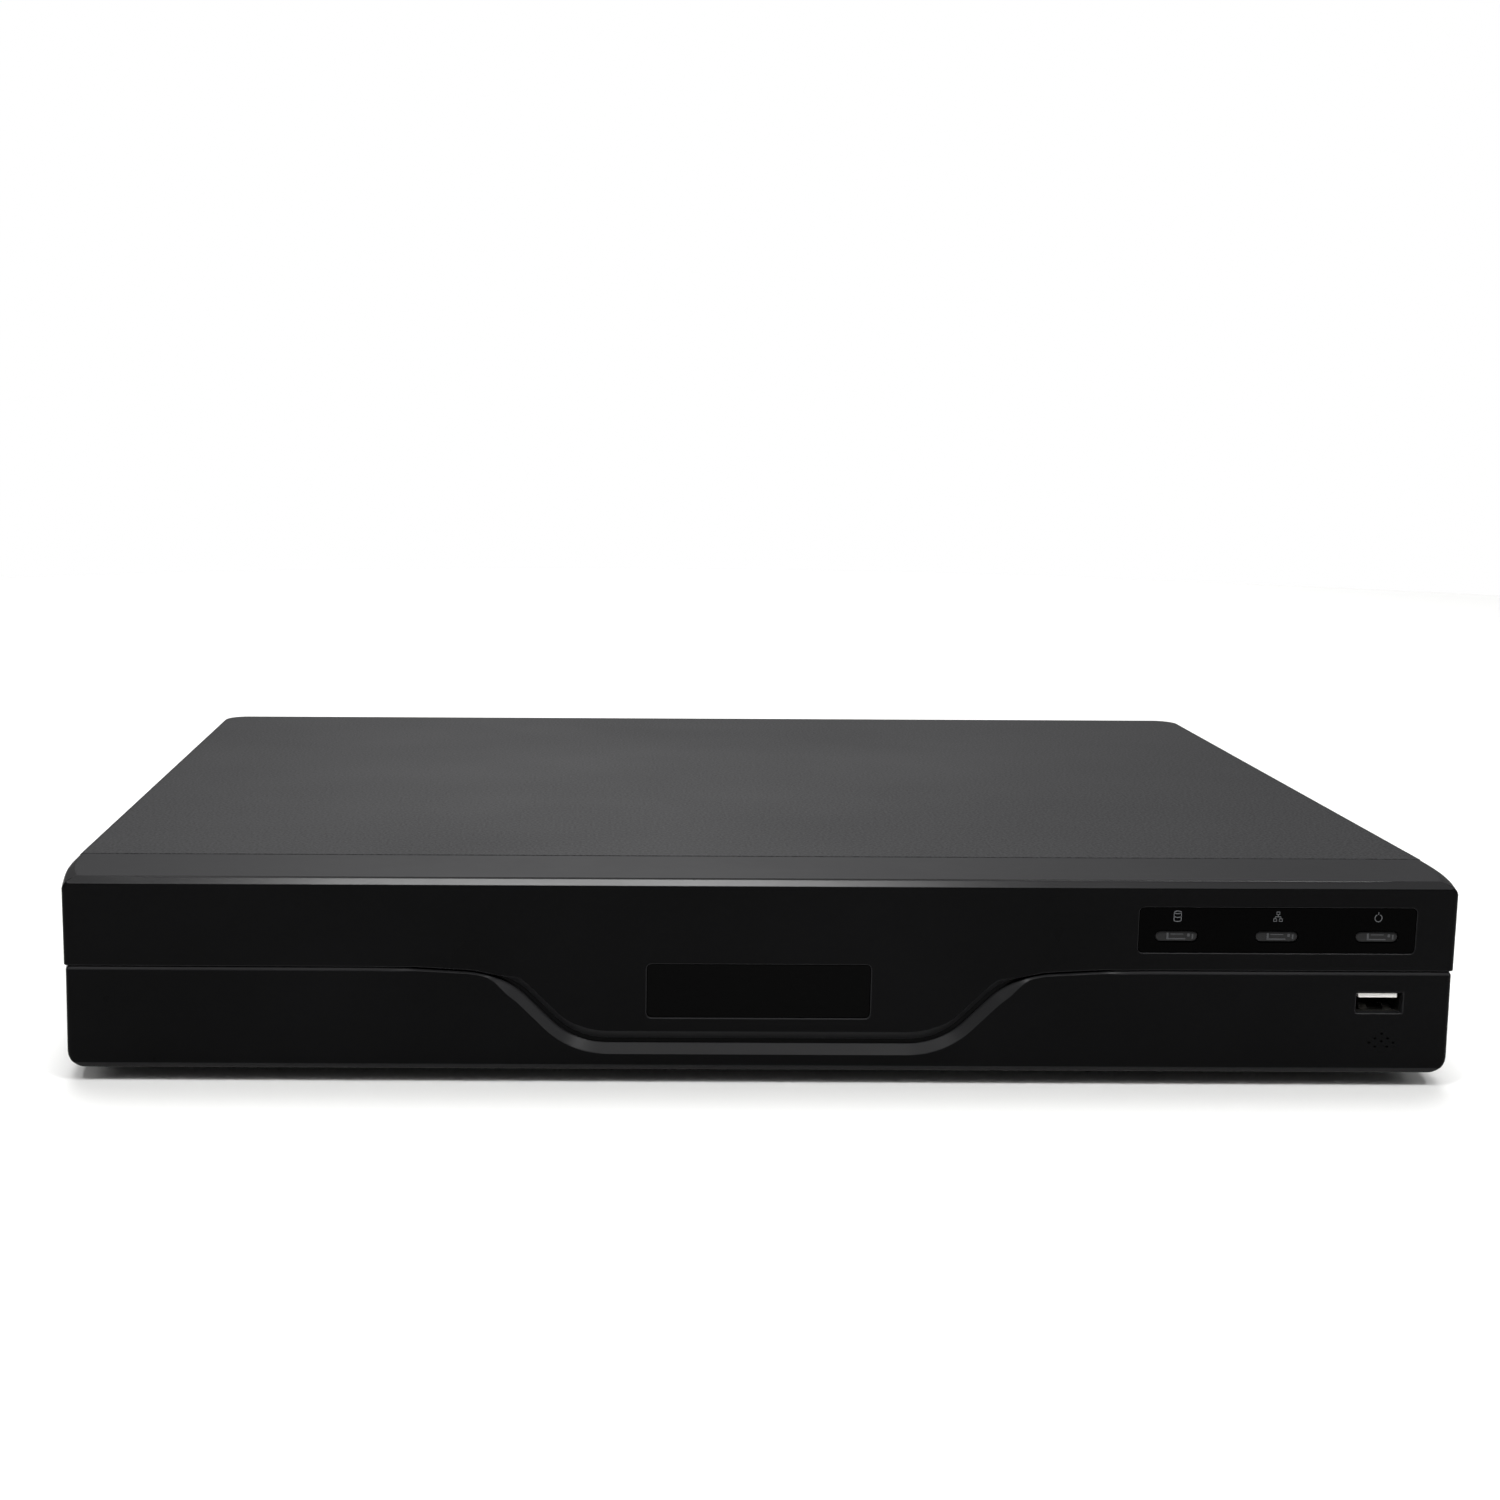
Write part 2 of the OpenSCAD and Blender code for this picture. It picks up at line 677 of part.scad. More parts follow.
// The plastic tongue of a port with its four contact strips.
module port_tongue(skin, depth) {
    tongue_w = 11.1;
    tongue_t = 1.84;
    translate([0, 0, skin]) linear_extrude(1.6)
        round_rect(usb_w - 2 * skin - 0.1, usb_h - 2 * skin - 0.1, 0.4);
    translate([-tongue_w / 2, -usb_h / 2 + skin + 0.6, skin]) cube([tongue_w, tongue_t, depth]);
}

module front_usb_shell() color(bare_steel) in_row_frame() {
    translate([port_x, front_board_y, port_z]) rotate([90, 0, 0])
        port_shell(usb_w, usb_h, usb_skin, front_board_y - bezel_wall);
}

module front_usb_tongue() color("#ecebe4") in_row_frame() {
    translate([port_x, front_board_y, port_z]) rotate([90, 0, 0]) mirror([0, 1, 0])
        port_tongue(usb_skin, front_board_y - usb_skin - 1);
}

// ---- Flat cables ----

// Outline of a strip of a given thickness along a line of points.
function strip_normal(points, i) =
    let (
        before = points[max(i - 1, 0)],
        after = points[min(i + 1, len(points) - 1)],
        here = points[i],
        way_in = i == 0 ? after - here : here - before,
        way_out = i == len(points) - 1 ? here - before : after - here,
        a = way_in / norm(way_in),
        b = way_out / norm(way_out),
        middle = (a + b) / norm(a + b)
    )
    [-middle.y, middle.x] / max(0.5, a * middle);
function strip_outline(points, thick) = concat(
    [for (i = [0 : len(points) - 1]) points[i] + strip_normal(points, i) * thick / 2],
    [for (i = [len(points) - 1 : -1 : 0]) points[i] - strip_normal(points, i) * thick / 2]
);

// A flat cable that runs to the rear and up or down, centred on a given X.
module flat_cable(points, thick, width) {
    translate([-width / 2, 0, 0]) rotate([90, 0, 90]) linear_extrude(width)
        polygon(strip_outline(points, thick));
}

ribbon_w = 14;
ribbon_t = 0.8;
header_h = 5;
ribbon_header_y = board_y0 + 6;

module front_ribbon_cable() color("#8f9399") in_row_frame() {
    plug_h = 3.4;
    low = tray_top + 2.6;
    start_y = front_board_y + board_t;
    start_z = low + 8;
    stop_y = ribbon_header_y;
    stop_z = board_top + header_h;
    translate([cable_gate_x, 0, 0]) {
        block([-ribbon_w / 2 - 1, start_y, start_z - 2], [ribbon_w / 2 + 1, start_y + plug_h, start_z + 2]);
        block([-ribbon_w / 2 - 1, stop_y - 2.4, board_top], [ribbon_w / 2 + 1, stop_y + 2.4, stop_z]);
        flat_cable([
            [start_y + plug_h, start_z], [start_y + plug_h + 4, start_z], [bezel_d - 4, start_z - 3],
            [bezel_d + 6, low + 1], [bezel_d + 14, low], [board_y0 - 16, low],
            [board_y0 - 8, low + 2.5], [board_y0 - 5, low + 9], [board_y0 - 2, stop_z - 0.4],
            [board_y0 + 2, stop_z + 1.4], [stop_y - 0.5, stop_z + 1.6], [stop_y + 0.4, stop_z]
        ], ribbon_t, ribbon_w);
    }
}

// ---- Main board ----

standoff_r = 2.9;
standoff_places = [
    for (x = [board_x0 + 6, (board_x0 + board_x1) / 2 + 30, board_x1 - 6], y = [board_y0 + 6, board_y1 - 32])
        [x, y]
];

module main_board() color(board_green) in_row_frame() {
    difference() {
        block([board_x0, board_y0, board_z], [board_x1, board_y1, board_top]);
        for (at = standoff_places) translate([at.x, at.y, board_z - cut])
            cylinder(r = screw_r + 0.1, h = board_t + 2 * cut);
    }
}

module board_standoffs() color("#c9a95a") in_row_frame() {
    for (at = standoff_places) translate([at.x, at.y, tray_top]) difference() {
        cylinder(r = standoff_r, h = standoff_h, $fn = 6);
        translate([0, 0, -cut]) cylinder(r = screw_r, h = standoff_h + 2 * cut);
    }
}

module board_screws() color(bare_steel) in_row_frame() {
    for (at = standoff_places) translate([at.x, at.y, board_top]) pan_screw(2.8, 1.5, screw_r, board_t + 4);
}

chip_w = 27;
chip_h = 2.2;
chip_x = board_x0 + 150;
chip_y = board_y0 + 30;

module processor() color("#202124") in_row_frame() {
    block(
        [chip_x - chip_w / 2, chip_y - chip_w / 2, board_top],
        [chip_x + chip_w / 2, chip_y + chip_w / 2, board_top + chip_h]
    );
}

module heat_sink() color("#8e9196") in_row_frame() {
    sink_w = 40;
    sink_base = 3;
    sink_h = 16;
    fin_t = 1.4;
    fins = 9;
    translate([chip_x - sink_w / 2, chip_y - sink_w / 2, board_top + chip_h]) {
        cube([sink_w, sink_w, sink_base]);
        for (i = [0 : fins - 1]) translate([i * (sink_w - fin_t) / (fins - 1), 0, sink_base])
            cube([fin_t, sink_w, sink_h - sink_base]);
    }
}

module memory_chips() color("#1c1d20") in_row_frame() {
    for (row = [0 : 1], side = [-1, 1])
        translate([chip_x + side * 32 - 5, chip_y - 14 + row * 16, board_top]) cube([10, 12, 1.1]);
}

module capacitors() color("#2d3542") in_row_frame() {
    tall = 9;
    for (i = [0 : 4]) translate([board_x1 - 26 - i * 11, board_y0 + 26, board_top]) {
        cylinder(r = 3.9, h = 0.8);
        translate([0, 0, 0.8]) cylinder(r = 3.5, h = tall);
    }
}

module coin_cell() color("#c8cacc") in_row_frame() {
    translate([board_x0 + 52, board_y0 + 22, board_top]) {
        difference() {
            cylinder(r = 11.6, h = 2.4);
            translate([0, 0, 0.8]) cylinder(r = 10.1, h = 3);
        }
        translate([0, 0, 0.8]) cylinder(r = 10.1, h = 3.2);
    }
}

module buzzer() color("#121214") in_row_frame() {
    translate([board_x0 + 24, board_y0 + 14, board_top]) difference() {
        cylinder(r = 6, h = 8.5);
        translate([0, 0, 6]) cylinder(r = 1, h = 4);
    }
}

// ---- Video sockets ----

bnc_collar_r = 6.2;
bnc_body_w = 14.6;
bnc_body_d = 15;

module bnc_housings() color("#151517") in_row_frame() {
    for (column = [0 : bnc_columns - 1]) {
        x = bnc_x - column * bnc_pitch;
        block(
            [x - bnc_body_w / 2, inside_y - bnc_body_d, board_top],
            [x + bnc_body_w / 2, inside_y, high_z + 7]
        );
    }
}

module bnc_shells() color("#c3c5c8") in_row_frame() {
    collar = panel_t + 1.4;
    floor_t = 0.6;
    tip = bnc_reach + panel_t;
    lug_y = 3;
    for (at = bnc_places()) facing_rear([at.x, inside_y, at.y]) {
        difference() {
            union() {
                cylinder(r = bnc_collar_r, h = collar);
                cylinder(r = bnc_r, h = tip);
            }
            translate([0, 0, floor_t]) cylinder(r = bnc_bore_r, h = tip);
        }
        for (side = [-1, 1]) translate([side * (bnc_r + bnc_bore_r) / 2, 0, tip - lug_y])
            rotate([0, side * 90, 0])
            cylinder(r = 0.95, h = 5.55 - (bnc_r + bnc_bore_r) / 2);
    }
}

module bnc_insulators() color("#f0efe8") in_row_frame() {
    floor_t = 0.6;
    for (at = bnc_places()) facing_rear([at.x, inside_y + floor_t, at.y]) difference() {
        union() {
            cylinder(r = bnc_bore_r, h = 3);
            cylinder(r = 2.4, h = 8.2);
        }
        translate([0, 0, -cut]) cylinder(r = 1.1, h = 12);
    }
}

module bnc_contacts() color("#d9b65a") in_row_frame() {
    floor_t = 0.6;
    for (at = bnc_places()) facing_rear([at.x, inside_y + floor_t, at.y]) difference() {
        cylinder(r = 1.1, h = 8);
        translate([0, 0, 4]) cylinder(r = 0.55, h = 8);
    }
}

// ---- Audio sockets ----

rca_collar_r = 5.2;

module rca_housings() color("#151517") in_row_frame() {
    for (column = [0 : 1]) {
        x = rca_x - column * rca_pitch;
        block([x - 6, inside_y - 13, board_top], [x + 6, inside_y, high_z + 6.5]);
    }
}

module rca_shells() color("#c9cbce") in_row_frame() {
    for (at = rca_places()) facing_rear([at.x, inside_y, at.y]) difference() {
        union() {
            cylinder(r = rca_collar_r, h = panel_t + 1);
            cylinder(r = rca_r, h = panel_t + rca_reach);
        }
        translate([0, 0, -cut]) cylinder(r = 3.3, h = rca_reach + 4);
    }
}

module rca_inserts() color("#e6e6e2") in_row_frame() {
    for (at = rca_places()) facing_rear([at.x, inside_y, at.y]) difference() {
        cylinder(r = 3.3, h = panel_t + rca_reach - 0.8);
        translate([0, 0, 1]) cylinder(r = 1.6, h = rca_reach + 4);
    }
}

// ---- Display sockets ----

vga_shell_w = 16.9;
vga_shell_h = 8.4;
vga_flange_w = 31;
vga_flange_h = 12.5;
hdmi_w = 15;
hdmi_h = 5.6;
hdmi_z = board_top + 1 + hdmi_h / 2;

// The D shape of a display plug, wider at the top.
module d_shape(w, h) {
    slope = h * tan(10);
    corner = 1.2;
    polygon([
        [-w / 2 + corner, -h / 2], [w / 2 - corner, -h / 2], [w / 2, -h / 2 + corner],
        [w / 2 - slope, h / 2 - corner], [w / 2 - slope - corner, h / 2],
        [-w / 2 + slope + corner, h / 2], [-w / 2 + slope, h / 2 - corner], [-w / 2, -h / 2 + corner]
    ]);
}

module vga_shell() color("#c5c7ca") in_row_frame() {
    flange_t = 0.6;
    facing_rear([vga_x, inside_y - flange_t, vga_z]) difference() {
        union() {
            linear_extrude(flange_t) round_rect(vga_flange_w, vga_flange_h, 1);
            linear_extrude(flange_t + panel_t + 5.6) d_shape(vga_shell_w, vga_shell_h);
        }
        translate([0, 0, -cut]) linear_extrude(12) d_shape(vga_shell_w - 1, vga_shell_h - 1);
        for (side = [-1, 1]) translate([side * jack_screw_pitch / 2, 0, -cut])
            cylinder(r = screw_r + 0.1, h = 4);
    }
}

module vga_insert() color("#22407c") in_row_frame() {
    hole_pitch = 2.29;
    depth = 12;
    facing_rear([vga_x, inside_y - 0.6, vga_z]) difference() {
        linear_extrude(0.6 + panel_t + 5.2) d_shape(vga_shell_w - 1, vga_shell_h - 1);
        for (row = [-1 : 1], i = [-2 : 2])
            translate([(i + row / 4) * hole_pitch, row * 1.98, 2]) cylinder(r = 0.5, h = depth);
    }
    block(
        [vga_x - vga_flange_w / 2 + 0.5, inside_y - 0.6 - depth, board_top + 8],
        [vga_x + vga_flange_w / 2 - 0.5, inside_y - 0.6, vga_z + vga_flange_h / 2]
    );
    for (side = [-1, 1]) {
        x = vga_x + side * (vga_flange_w / 2 - 2);
        block([x - 1.5, inside_y - 0.6 - depth, board_top], [x + 1.5, inside_y - 0.6, board_top + 8]);
    }
}

module vga_jackscrews() color("#c8cacd") in_row_frame() {
    for (side = [-1, 1]) facing_rear([vga_x + side * jack_screw_pitch / 2, panel_y, vga_z]) difference() {
        union() {
            cylinder(r = 2.75, h = 5, $fn = 6);
            translate([0, 0, -panel_t - 0.6]) cylinder(r = screw_r, h = panel_t + 1);
        }
        translate([0, 0, 0.5]) cylinder(r = 1.2, h = 6);
    }
}

module hdmi_shell() color("#b4b7ba") in_row_frame() {
    skin = 0.35;
    facing_rear([hdmi_x, inside_y - 10, hdmi_z]) {
        difference() {
            linear_extrude(10 + panel_t + 0.6) round_rect(hdmi_w, hdmi_h, 0.9);
            translate([0, 0, skin]) linear_extrude(14) round_rect(hdmi_w - 2 * skin, hdmi_h - 2 * skin, 0.6);
        }
        for (side = [-1, 1]) translate([side * (hdmi_w / 2 - 1) - 0.5, hdmi_h / 2, 3]) cube([1, 1, 3]);
    }
}

module hdmi_tongue() color("#17171a") in_row_frame() {
    skin = 0.35;
    facing_rear([hdmi_x, inside_y - 10 + skin, hdmi_z]) {
        linear_extrude(3) round_rect(hdmi_w - 2 * skin, hdmi_h - 2 * skin, 0.6);
        translate([-5.6, -0.55, 3]) cube([11.2, 1.1, 6]);
    }
}

// ---- Network and data sockets ----

lan_w = 15.9;
lan_h = 13.4;
lan_z = board_top + lan_h / 2;
lan_d = 18;
lan_skin = 0.3;
plug_w = 11.8;
plug_h = 8;
usb_stack_h = 15.8;
usb_z = board_top + usb_stack_h / 2;
usb_port_rise = [-4, 4];
usb_d = 14;

module lan_shield() color("#b9bcbf") in_row_frame() {
    facing_rear([lan_x, inside_y - lan_d, lan_z]) difference() {
        linear_extrude(lan_d + panel_t + 0.5) square([lan_w, lan_h], center = true);
        translate([0, 0, lan_skin]) linear_extrude(30)
            square([lan_w - 2 * lan_skin, lan_h - 2 * lan_skin], center = true);
    }
}

module lan_housing() color("#1d1e21") in_row_frame() {
    depth = 13.5;
    latch_w = 6;
    latch_h = 1.8;
    facing_rear([lan_x, inside_y - lan_d + lan_skin, lan_z]) difference() {
        linear_extrude(lan_d + panel_t) square([lan_w - 2 * lan_skin, lan_h - 2 * lan_skin], center = true);
        translate([0, 0, lan_d + panel_t - depth]) linear_extrude(30) {
            square([plug_w, plug_h], center = true);
            translate([0, plug_h / 2]) square([latch_w, 2 * latch_h], center = true);
        }
    }
}

module rear_usb_shell() color("#b9bcbf") in_row_frame() {
    facing_rear([usb_x, inside_y - usb_d, usb_z]) difference() {
        linear_extrude(usb_d + panel_t + 0.5) square([usb_w, usb_stack_h], center = true);
        for (rise = usb_port_rise) translate([0, -rise, usb_skin]) linear_extrude(30)
            round_rect(usb_w - 2 * usb_skin, usb_h - 2 * usb_skin, 0.5);
    }
}

module rear_usb_tongues() color("#18181b") in_row_frame() {
    for (rise = usb_port_rise) facing_rear([usb_x, inside_y - usb_d, usb_z + rise])
        port_tongue(usb_skin, usb_d - 2);
}

// ---- Power socket and switch ----

dc_nose_r = 4.6;
dc_body_w = 9.2;
dc_body_d = 13;
dc_nose = 1.6;
dc_z = board_top + 6.2;
switch_z = high_z - 1.5;
switch_body_w = 19.2;
switch_body_h = 12.9;
switch_flange_w = 21;
switch_flange_h = 15;
switch_flange_t = 1.8;
switch_body_d = 13;
switch_cavity_h = 10.8;
rocker_r = 8.9;
rocker_h = switch_cavity_h - 2 * clearance;
rocker_pin_r = 1.2;
rocker_tilt = 10;
rocker_y = panel_y + switch_flange_t - 4.4;
rocker_floor = 4.6;

module dc_jack_body() color("#141416") in_row_frame() {
    depth = dc_body_d + panel_t + dc_nose;
    difference() {
        union() {
            block(
                [dc_x - dc_body_w / 2, inside_y - dc_body_d, board_top],
                [dc_x + dc_body_w / 2, inside_y, dc_z + 4.8]
            );
            facing_rear([dc_x, inside_y - 1, dc_z]) cylinder(r = dc_nose_r, h = 1 + panel_t + dc_nose);
        }
        facing_rear([dc_x, inside_y - dc_body_d + 4, dc_z]) cylinder(r = dc_bore_r, h = depth);
    }
}

module dc_jack_pin() color("#cfd1d3") in_row_frame() {
    facing_rear([dc_x, inside_y - dc_body_d + 4, dc_z]) {
        cylinder(r = dc_bore_r, h = 0.6);
        cylinder(r = dc_pin_r, h = dc_body_d - 4 + panel_t + dc_nose - 1);
    }
}

module switch_housing() color("#101012") in_row_frame() {
    cavity_half = rocker_r + clearance;
    floor_y = rocker_y - rocker_floor - clearance;
    difference() {
        union() {
            facing_rear([switch_x, panel_y, switch_z]) linear_extrude(switch_flange_t)
                round_rect(switch_flange_w, switch_flange_h, 1);
            block(
                [switch_x - switch_body_w / 2, panel_y - switch_body_d, switch_z - switch_body_h / 2],
                [switch_x + switch_body_w / 2, panel_y, switch_z + switch_body_h / 2]
            );
        }
        block(
            [switch_x - cavity_half, floor_y, switch_z - switch_cavity_h / 2],
            [switch_x + cavity_half, case_d + 20, switch_z + switch_cavity_h / 2]
        );
        translate([switch_x, rocker_y, switch_z - switch_flange_h])
            cylinder(r = rocker_pin_r + running_fit, h = 2 * switch_flange_h);
    }
    for (side = [-1, 1]) block(
        [switch_x + side * 5 - 0.4, panel_y - switch_body_d - 7, switch_z - 2.4],
        [switch_x + side * 5 + 0.4, panel_y - switch_body_d, switch_z + 2.4]
    );
}

module switch_rocker() color("#0c0c0d") in_row_frame() {
    crest = 4.2;
    dish = 3.4;
    pin_l = switch_body_h - 0.4;
    translate([switch_x, rocker_y, switch_z]) {
        rotate(rocker_tilt) translate([0, 0, -rocker_h / 2]) linear_extrude(rocker_h) intersection() {
            circle(rocker_r);
            polygon([
                [-rocker_r, 0.6], [-3, -rocker_floor + 0.6], [3, -rocker_floor + 0.6], [rocker_r, 0.6],
                [rocker_r, crest], [0, dish], [-rocker_r, crest]
            ]);
        }
        translate([0, 0, -pin_l / 2]) cylinder(r = rocker_pin_r, h = pin_l);
    }
}

// ---- Terminal block and ground screw ----

terminal_out_w = terminal_w + 3;
terminal_h = 9.4;
terminal_wall = 1;
terminal_d = 10;
terminal_z = board_top + terminal_h / 2;
terminal_pin_r = 0.5;
terminal_body_h = 11.4;
terminal_body_d = 8.6;
ground_z = high_z - 1.5;
function way_places() = [
    for (i = [0 : terminal_ways - 1]) terminal_x + (i - (terminal_ways - 1) / 2) * terminal_pitch
];

module terminal_socket() color("#2f7d46") in_row_frame() {
    back = inside_y - terminal_d;
    difference() {
        block(
            [terminal_x - terminal_out_w / 2, back, board_top],
            [terminal_x + terminal_out_w / 2, panel_y, board_top + terminal_h]
        );
        block(
            [terminal_x - terminal_out_w / 2 + terminal_wall, back + 2, board_top + terminal_wall],
            [terminal_x + terminal_out_w / 2 - terminal_wall, case_d + cut, board_top + terminal_h - terminal_wall]
        );
    }
    for (x = way_places()) facing_rear([x, back + 2, terminal_z]) cylinder(r = terminal_pin_r, h = 7);
}

module terminal_plug() color("#3a9455") in_row_frame() {
    nose_w = terminal_out_w - 2 * terminal_wall - 2 * clearance;
    nose_h = terminal_h - 2 * terminal_wall - 2 * clearance;
    back = inside_y - terminal_d + 2 + clearance;
    face = panel_y + clearance;
    difference() {
        union() {
            block(
                [terminal_x - nose_w / 2, back, terminal_z - nose_h / 2],
                [terminal_x + nose_w / 2, face, terminal_z + nose_h / 2]
            );
            block(
                [terminal_x - terminal_out_w / 2, face, terminal_z - terminal_h / 2],
                [terminal_x + terminal_out_w / 2, face + terminal_body_d, terminal_z - terminal_h / 2 + terminal_body_h]
            );
        }
        for (x = way_places()) {
            facing_rear([x, back - cut, terminal_z]) cylinder(r = terminal_pin_r + clearance, h = 9);
            facing_rear([x, face + 2, terminal_z]) linear_extrude(terminal_body_d)
                square([2.6, 3.4], center = true);
            translate([x, face + terminal_body_d / 2, terminal_z + terminal_body_h / 2])
                cylinder(r = 1.45, h = terminal_body_h);
        }
    }
}

module terminal_screws() color("#c6c8cb") in_row_frame() {
    low = terminal_z + terminal_body_h / 2;
    high = terminal_z - terminal_h / 2 + terminal_body_h - 0.4;
    for (x = way_places()) translate([x, panel_y + clearance + terminal_body_d / 2, low]) difference() {
        cylinder(r = 1.45, h = high - low);
        translate([0, 0, high - low]) cube([4, 0.5, 1], center = true);
    }
}

module ground_screw() color("#c9b56a") in_row_frame() {
    facing_rear([ground_x, panel_y, ground_z]) {
        difference() {
            cylinder(r = 4, h = 0.8);
            translate([0, 0, -cut]) cylinder(r = screw_r, h = 3);
        }
        translate([0, 0, 0.8]) pan_screw(3, 2, screw_r, panel_t + 6);
    }
}

// ---- Fan ----

fan_bore_r = fan_w / 2 - 1.2;
fan_y0 = inside_y - fan_t;
hub_r = 9.5;
boss_fan_r = 8.6;
fan_shaft_r = 1;
blade_tip = fan_bore_r - 0.8;
fan_back_t = 1.6;

module fan_frame() color("#18181a") in_row_frame() {
    facing_rear([fan_x, fan_y0, fan_z]) {
        difference() {
            translate([-fan_half, -fan_half, 0]) cube([2 * fan_half, 2 * fan_half, fan_t]);
            translate([0, 0, -cut]) cylinder(r = fan_bore_r, h = fan_t + 2 * cut);
            for (x = [-1, 1], y = [-1, 1]) translate([x, y, 0] * fan_screw_pitch / 2)
                translate([0, 0, -cut]) cylinder(r = screw_r, h = fan_t + 2 * cut);
        }
        difference() {
            union() {
                cylinder(r = boss_fan_r, h = fan_back_t);
                cylinder(r = 2.6, h = fan_t - 3);
                for (turn = [45 : 90 : 315]) rotate(turn) translate([0, -1, 0])
                    cube([fan_bore_r + 0.5, 2, fan_back_t]);
            }
            translate([0, 0, fan_back_t]) cylinder(r = fan_shaft_r + running_fit, h = fan_t);
        }
    }
}

module fan_rotor() color("#26272a") in_row_frame() {
    hub_back = fan_back_t + clearance + 0.1;
    hub_front = fan_t - 0.6;
    blade_t = 1;
    facing_rear([fan_x, fan_y0, fan_z]) {
        difference() {
            translate([0, 0, hub_back]) cylinder(r = hub_r, h = hub_front - hub_back);
            translate([0, 0, hub_back - cut]) cylinder(r = hub_r - 1.2, h = hub_front - hub_back - 1.2 + cut);
        }
        translate([0, 0, fan_back_t + clearance])
            cylinder(r = fan_shaft_r, h = hub_front - fan_back_t - clearance);
        intersection() {
            difference() {
                translate([0, 0, hub_back]) cylinder(r = blade_tip, h = hub_front - hub_back);
                cylinder(r = hub_r - 0.4, h = fan_t);
            }
            for (i = [0 : blades - 1]) rotate(i * 360 / blades)
                translate([hub_r - 1, 0, (hub_back + hub_front) / 2])
                rotate([38, 0, 0]) translate([0, -8, -blade_t / 2]) cube([fan_w, 16, blade_t]);
        }
    }
}

module fan_guard() color("#aeb1b4") in_row_frame() {
    wire_r = 0.7;
    facing_rear([fan_x, panel_y, fan_z]) {
        for (ring = [4.5 : 4.4 : fan_bore_r - wire_r]) translate([0, 0, 2 * wire_r])
            rotate_extrude($fn = 64) translate([ring, 0]) circle(wire_r, $fn = 16);
        for (x = [-1, 1], y = [-1, 1]) difference() {
            union() {
                translate([x, y, 0] * fan_screw_pitch / 2) cylinder(r = fan_eye_r, h = 2 * wire_r);
                rotate(atan2(y, x)) translate([0, -wire_r, 0])
                    cube([fan_screw_pitch * sqrt(2) / 2 - 1, 2 * wire_r, 2 * wire_r]);
            }
            translate([x, y, 0] * fan_screw_pitch / 2) translate([0, 0, -cut])
                cylinder(r = screw_r + 0.1, h = 4);
        }
    }
}

module fan_screws() color(bare_steel) in_row_frame() {
    for (x = [-1, 1], z = [-1, 1])
        facing_rear([fan_x + x * fan_screw_pitch / 2, panel_y + 1.4, fan_z + z * fan_screw_pitch / 2])
            pan_screw(2.5, 1.4, screw_r, 1.4 + panel_t + 7);
}

// ---- Hard disk ----

drive_x = bay_x[0];
lid_t = 1.4;
spindle_y = drive_y + 52;
pivot = [28, 51];
drive_floor = 6;
spindle_r = 2.5;
platter_t = 1.27;
platter_gap = 2.4;
platters = 2;
hub_drive_r = 12;
pivot_r = 3;
blade_drive_t = 0.9;
park_angle = 186.7;
cavity_h = drive_h - lid_t - drive_floor;
stack_z = drive_z + drive_floor + 5;

module drive_base() color("#9a9da1") in_row_frame() {
    difference() {
        block(
            [drive_x - drive_w / 2, drive_y, drive_z],
            [drive_x + drive_w / 2, drive_y + drive_l, drive_z + drive_h - lid_t]
        );
        translate([drive_x, spindle_y, drive_z + drive_floor]) {
            cylinder(r = platter_r + 1.1, h = drive_h);
            translate([-46, 24, 0]) cube([92, 50, drive_h]);
        }
        // Recess under the base for its circuit board
        block(
            [drive_x - 48, drive_y + 60, drive_z - cut],
            [drive_x + 48, drive_y + drive_l + cut, drive_z + 3.5]
        );
        for (x = [-1, 1], y = drive_screw_y)
            translate([drive_x + x * drive_screw_half, drive_y + y, drive_z - cut])
                cylinder(r = drive_screw_r, h = 6);
    }
    translate([drive_x, spindle_y, drive_z + drive_floor - 0.5]) cylinder(r = spindle_r, h = 14);
    translate([drive_x + pivot.x, spindle_y + pivot.y, drive_z + drive_floor - 0.5])
        cylinder(r = pivot_r, h = 14);
    for (x = [-1, 1], y = drive_screw_y)
        translate([drive_x + x * drive_screw_half, drive_y + y, drive_z]) difference() {
            cylinder(r = 3, h = 3.5);
            translate([0, 0, -cut]) cylinder(r = drive_screw_r, h = 6);
        }
}

module drive_lid() color("#c4c7ca") in_row_frame() {
    difference() {
        translate([drive_x, drive_y + drive_l / 2, drive_z + drive_h - lid_t]) linear_extrude(lid_t)
            round_rect(drive_w, drive_l, 3);
        for (x = [-1, 1], y = [6, drive_l / 2, drive_l - 6])
            translate([drive_x + x * (drive_w / 2 - 5), drive_y + y, drive_z + drive_h - 0.6])
                cylinder(r = 2.6, h = 2);
    }
}

module drive_platters() color("#d8dadd") in_row_frame() {
    translate([drive_x, spindle_y, 0]) difference() {
        union() {
            translate([0, 0, stack_z - 3])
                cylinder(r = hub_drive_r, h = 3 + platters * (platter_t + platter_gap));
            for (i = [0 : platters - 1]) translate([0, 0, stack_z + i * (platter_t + platter_gap)])
                cylinder(r = platter_r, h = platter_t);
        }
        translate([0, 0, stack_z - 3 - cut]) cylinder(r = spindle_r + running_fit, h = 3 * cavity_h);
    }
}

